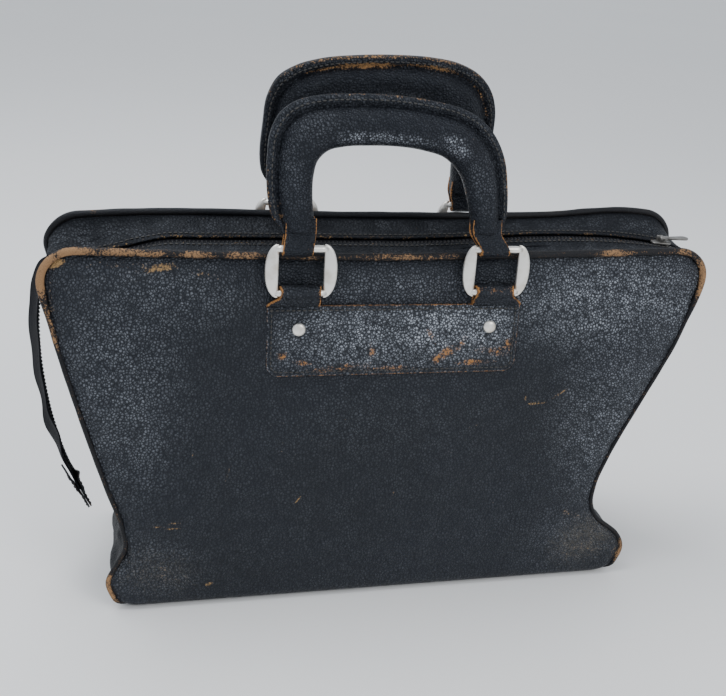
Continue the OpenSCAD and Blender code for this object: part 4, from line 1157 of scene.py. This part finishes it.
handle_lean = math.radians(10)
face_share = 0.76
for side in sides:
    pivot = np.array(joint_place(side.name + "_handle_swing"), float)
    rise = np.array([0, -side.sign * math.sin(handle_lean), math.cos(handle_lean)])
    outward = np.array([0, side.sign * math.cos(handle_lean), math.sin(handle_lean)])

    def on_handle(x, h, out):
        x, h, out = np.broadcast_arrays(x, h, out)
        return pivot + np.stack([x, 0 * x, 0 * x], -1) + h[..., None] * rise + out[..., None] * outward

    rows = 200
    outer_x, outer_h = even_line(handle_outer[side.name], rows)
    inner_x, inner_h = even_line(handle_inner[side.name], rows)
    t = np.linspace(0, 1, rows)[:, None]
    u = np.concatenate([0.5 * face_share * (1 - np.cos(np.linspace(0, math.pi, 23))),
                        [face_share + 0.015, face_share + 0.04, face_share + 0.08, 0.92, 0.97, 0.992, 1.0]])
    on_face = np.clip(1 - np.abs(2 * u / face_share - 1) ** 2.5, 0, 1) ** 0.5
    near_groove = smooth((u - face_share * 0.80) / (face_share * 0.20))
    half_thick = np.where(u < face_share, 0.0076 * on_face * (1 - 0.10 * near_groove), 0)
    rim_thick = 0.0027 * np.sqrt(np.clip(1 - ((u - 0.90) / 0.105) ** 4, 0, 1))
    half_thick = np.maximum(half_thick, np.where(u > face_share * 0.93, np.maximum(rim_thick, 0.0009), 0))
    half_thick = half_thick * np.where(u >= 1, 0.35, 1)
    foot = smooth(np.minimum(t, 1 - t) / 0.012)
    thick = half_thick[None, :] * (0.55 + 0.45 * foot)
    flare_in = 1 - 0.18 * (1 - smooth(np.minimum(t, 1 - t) / 0.05)) * (u[None, :] > face_share)
    across = u[None, :] * flare_in
    x = inner_x[:, None] * (1 - across) + outer_x[:, None] * across
    h = inner_h[:, None] * (1 - across) + outer_h[:, None] * across
    uneven = 1 + 0.05 * ripple(x, h, 0.03, 121 + side.sign) + 0.02 * ripple(x, h, 0.010, 131 + side.sign)
    front_face, back_face = on_handle(x, h, thick * uneven), on_handle(x, h, -thick * uneven)
    loop = np.concatenate([front_face, back_face[:, ::-1][:, 1:-1]], 1)
    faces = tube_faces(rows, loop.shape[1])
    scuff = np.maximum(spots(t, u[None, :], handle_scuffs[side.name]), 0.12)
    scuff = np.maximum(scuff, 0.42 * np.exp(-(u[None, :] / 0.02) ** 2) * smooth(np.sin(math.pi * t) * 3))
    scuff = np.concatenate([scuff, scuff[:, ::-1][:, 1:-1]], 1)
    # Painted sheen: highlights of light painted on the handle's grain
    shine = np.maximum(spots(t, u[None, :], handle_painted_sheen[side.name]), 0.06)
    shine = np.concatenate([shine, shine[:, ::-1][:, 1:-1]], 1)
    grip = facing_out(piece(side.name + "_handle_hide", loop.reshape(-1, 3), faces, handle_hide,
                            scuff=scuff, shine=shine, dust=np.full(scuff.shape, 0.12)))
    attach(grip, side.name + "_handle")
    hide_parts(side.name + "_grip")
    for sign, where in ((1, "outer"), (-1, "inner")):
        line_u = 0.885
        sx_line = inner_x * (1 - line_u) + outer_x * line_u
        sh_line = inner_h * (1 - line_u) + outer_h * line_u
        keep = slice(10, -10) if sign > 0 else slice(-10, 10, -1)
        sewn = on_handle(sx_line, sh_line, sign * 0.0029 + 0 * sx_line)[keep]
        stitch_run(f"{side.name}_handle_{where}_stitches", sewn, sign * outward, side.name + "_handle",
                   thread)

    core_u = np.array([0.14, 0.3, 0.5, 0.62])
    core_t = np.array([0.0028, 0.0042, 0.0042, 0.0028])
    keep = slice(24, -24)
    cx = inner_x[keep, None] * (1 - core_u) + outer_x[keep, None] * core_u
    ch = inner_h[keep, None] * (1 - core_u) + outer_h[keep, None] * core_u
    core_loop = np.concatenate([on_handle(cx, ch, core_t), on_handle(cx, ch, -core_t)[:, ::-1]], 1)
    faces = tube_faces(len(core_loop), 8)
    if side is front:
        felt, tree, surface = new_material("pressed_felt")
        place = add(tree, "ShaderNodeTexCoord").outputs["Object"]
        fibre = add(tree, "ShaderNodeTexNoise", {"Vector": place, "Scale": 700.0, "Detail": 6.0})
        tree.links.new(mixed(tree, fibre.outputs["Fac"], (0.34, 0.25, 0.15, 1), (0.60, 0.48, 0.32, 1)),
                       surface.inputs["Base Color"])
        surface.inputs["Roughness"].default_value = 0.95
    core = facing_out(piece(side.name + "_handle_felt", core_loop.reshape(-1, 3), faces, felt))
    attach(core, side.name + "_handle")
    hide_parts(side.name + "_grip_core")

    # Loops: a strap from inside each leg, down round the ring's upper bar and up again behind
    for sx, loop_name in ((-1, "left"), (1, "right")):
        wrap = np.linspace(0, math.pi, 15)
        loop_r, strap_half = 0.0036, 0.0093
        out_line = np.concatenate([np.full(9, loop_r), loop_r * np.cos(wrap), np.full(9, -loop_r)])
        h_line = np.concatenate([np.linspace(0.019, 0.001, 9), -loop_r * np.sin(wrap),
                                 np.linspace(0.001, 0.019, 9)])
        leg = 0 if sx < 0 else -1
        leg_x = inner_x[leg] * 0.62 + outer_x[leg] * 0.38
        at_bar = sx * ring_x - 0.0028
        mid_x = at_bar + (leg_x - at_bar) * smooth((h_line + 0.002) / 0.014)
        v = np.linspace(-1, 1, 17)
        line = on_handle(mid_x, h_line, out_line)
        normal = unit(np.cross(np.gradient(line, axis=0) * [0, 1, 1], [1, 0, 0]))
        if np.dot(normal[0], outward) < 0:
            normal = -normal
        strap = line[:, None] + (v * strap_half)[None, :, None] * np.array([1.0, 0, 0])
        crown = (0.00115 - 0.0004 * np.abs(v) ** 8)[None, :, None]
        verts, faces = shell(strap + crown * normal[:, None], strap - crown * normal[:, None])
        n = len(h_line)
        rubbed = (0.60 * np.abs(v)[None, :] ** 12 + 0.12
                  + 0.12 * np.exp(-((np.arange(n)[:, None] - 11) / 3) ** 2))
        loop_piece = facing_out(piece(f"{side.name}_{loop_name}_handle_loop", verts, faces, patch_hide,
                                      scuff=np.tile(rubbed.ravel(), 2), dust=np.full(len(verts), 0.2)))
        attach(loop_piece, side.name + "_handle")
        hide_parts(f"{side.name}_loop_{loop_name}")


# Inside: a stout woven lining on each side and on the base, over boards of pressed fibre. These
# pieces keep their shape, and only their finish is made here.
cloth, tree, surface = new_material("woven_lining")
place = add(tree, "ShaderNodeTexCoord").outputs["Object"]
parts = add(tree, "ShaderNodeSeparateXYZ", {0: place})
thread_wave = 7000.0
warp_thread = maths(tree, "SINE", maths(tree, "MULTIPLY", parts.outputs["X"], thread_wave))
weft_way = maths(tree, "ADD", parts.outputs["Z"], parts.outputs["Y"])
weft_thread = maths(tree, "SINE", maths(tree, "MULTIPLY", weft_way, thread_wave))
weave = maths(tree, "MULTIPLY", warp_thread, weft_thread)
soil = add(tree, "ShaderNodeTexNoise", {"Vector": place, "Scale": 30.0, "Detail": 5.0})
tone = mixed(tree, soil.outputs["Fac"], (0.13, 0.095, 0.065, 1), (0.25, 0.195, 0.14, 1))
tree.links.new(mixed(tree, span(tree, weave, -1, 1, 0.0, 0.35), tone, (0.07, 0.05, 0.035, 1)),
               surface.inputs["Base Color"])
surface.inputs["Roughness"].default_value = 0.9
bump = add(tree, "ShaderNodeBump", {"Strength": 0.6, "Distance": 0.0002, "Height": weave})
tree.links.new(bump.outputs[0], surface.inputs["Normal"])
board, tree, surface = new_material("fibre_board")
place = add(tree, "ShaderNodeTexCoord").outputs["Object"]
fleck = add(tree, "ShaderNodeTexNoise", {"Vector": place, "Scale": 500.0, "Detail": 6.0})
tree.links.new(mixed(tree, fleck.outputs["Fac"], (0.24, 0.17, 0.10, 1), (0.45, 0.35, 0.23, 1)),
               surface.inputs["Base Color"])
tree.links.new(span(tree, fleck.outputs["Fac"], 0, 1, 0.7, 0.95), surface.inputs["Roughness"])
for node, finish in (("base_board", board), ("base_lining", cloth), ("front_backing", board),
                     ("rear_backing", board), ("front_lining", cloth), ("rear_lining", cloth)):
    kept = frame["nodes"][node]
    kept.data.materials.clear()
    kept.data.materials.append(finish)
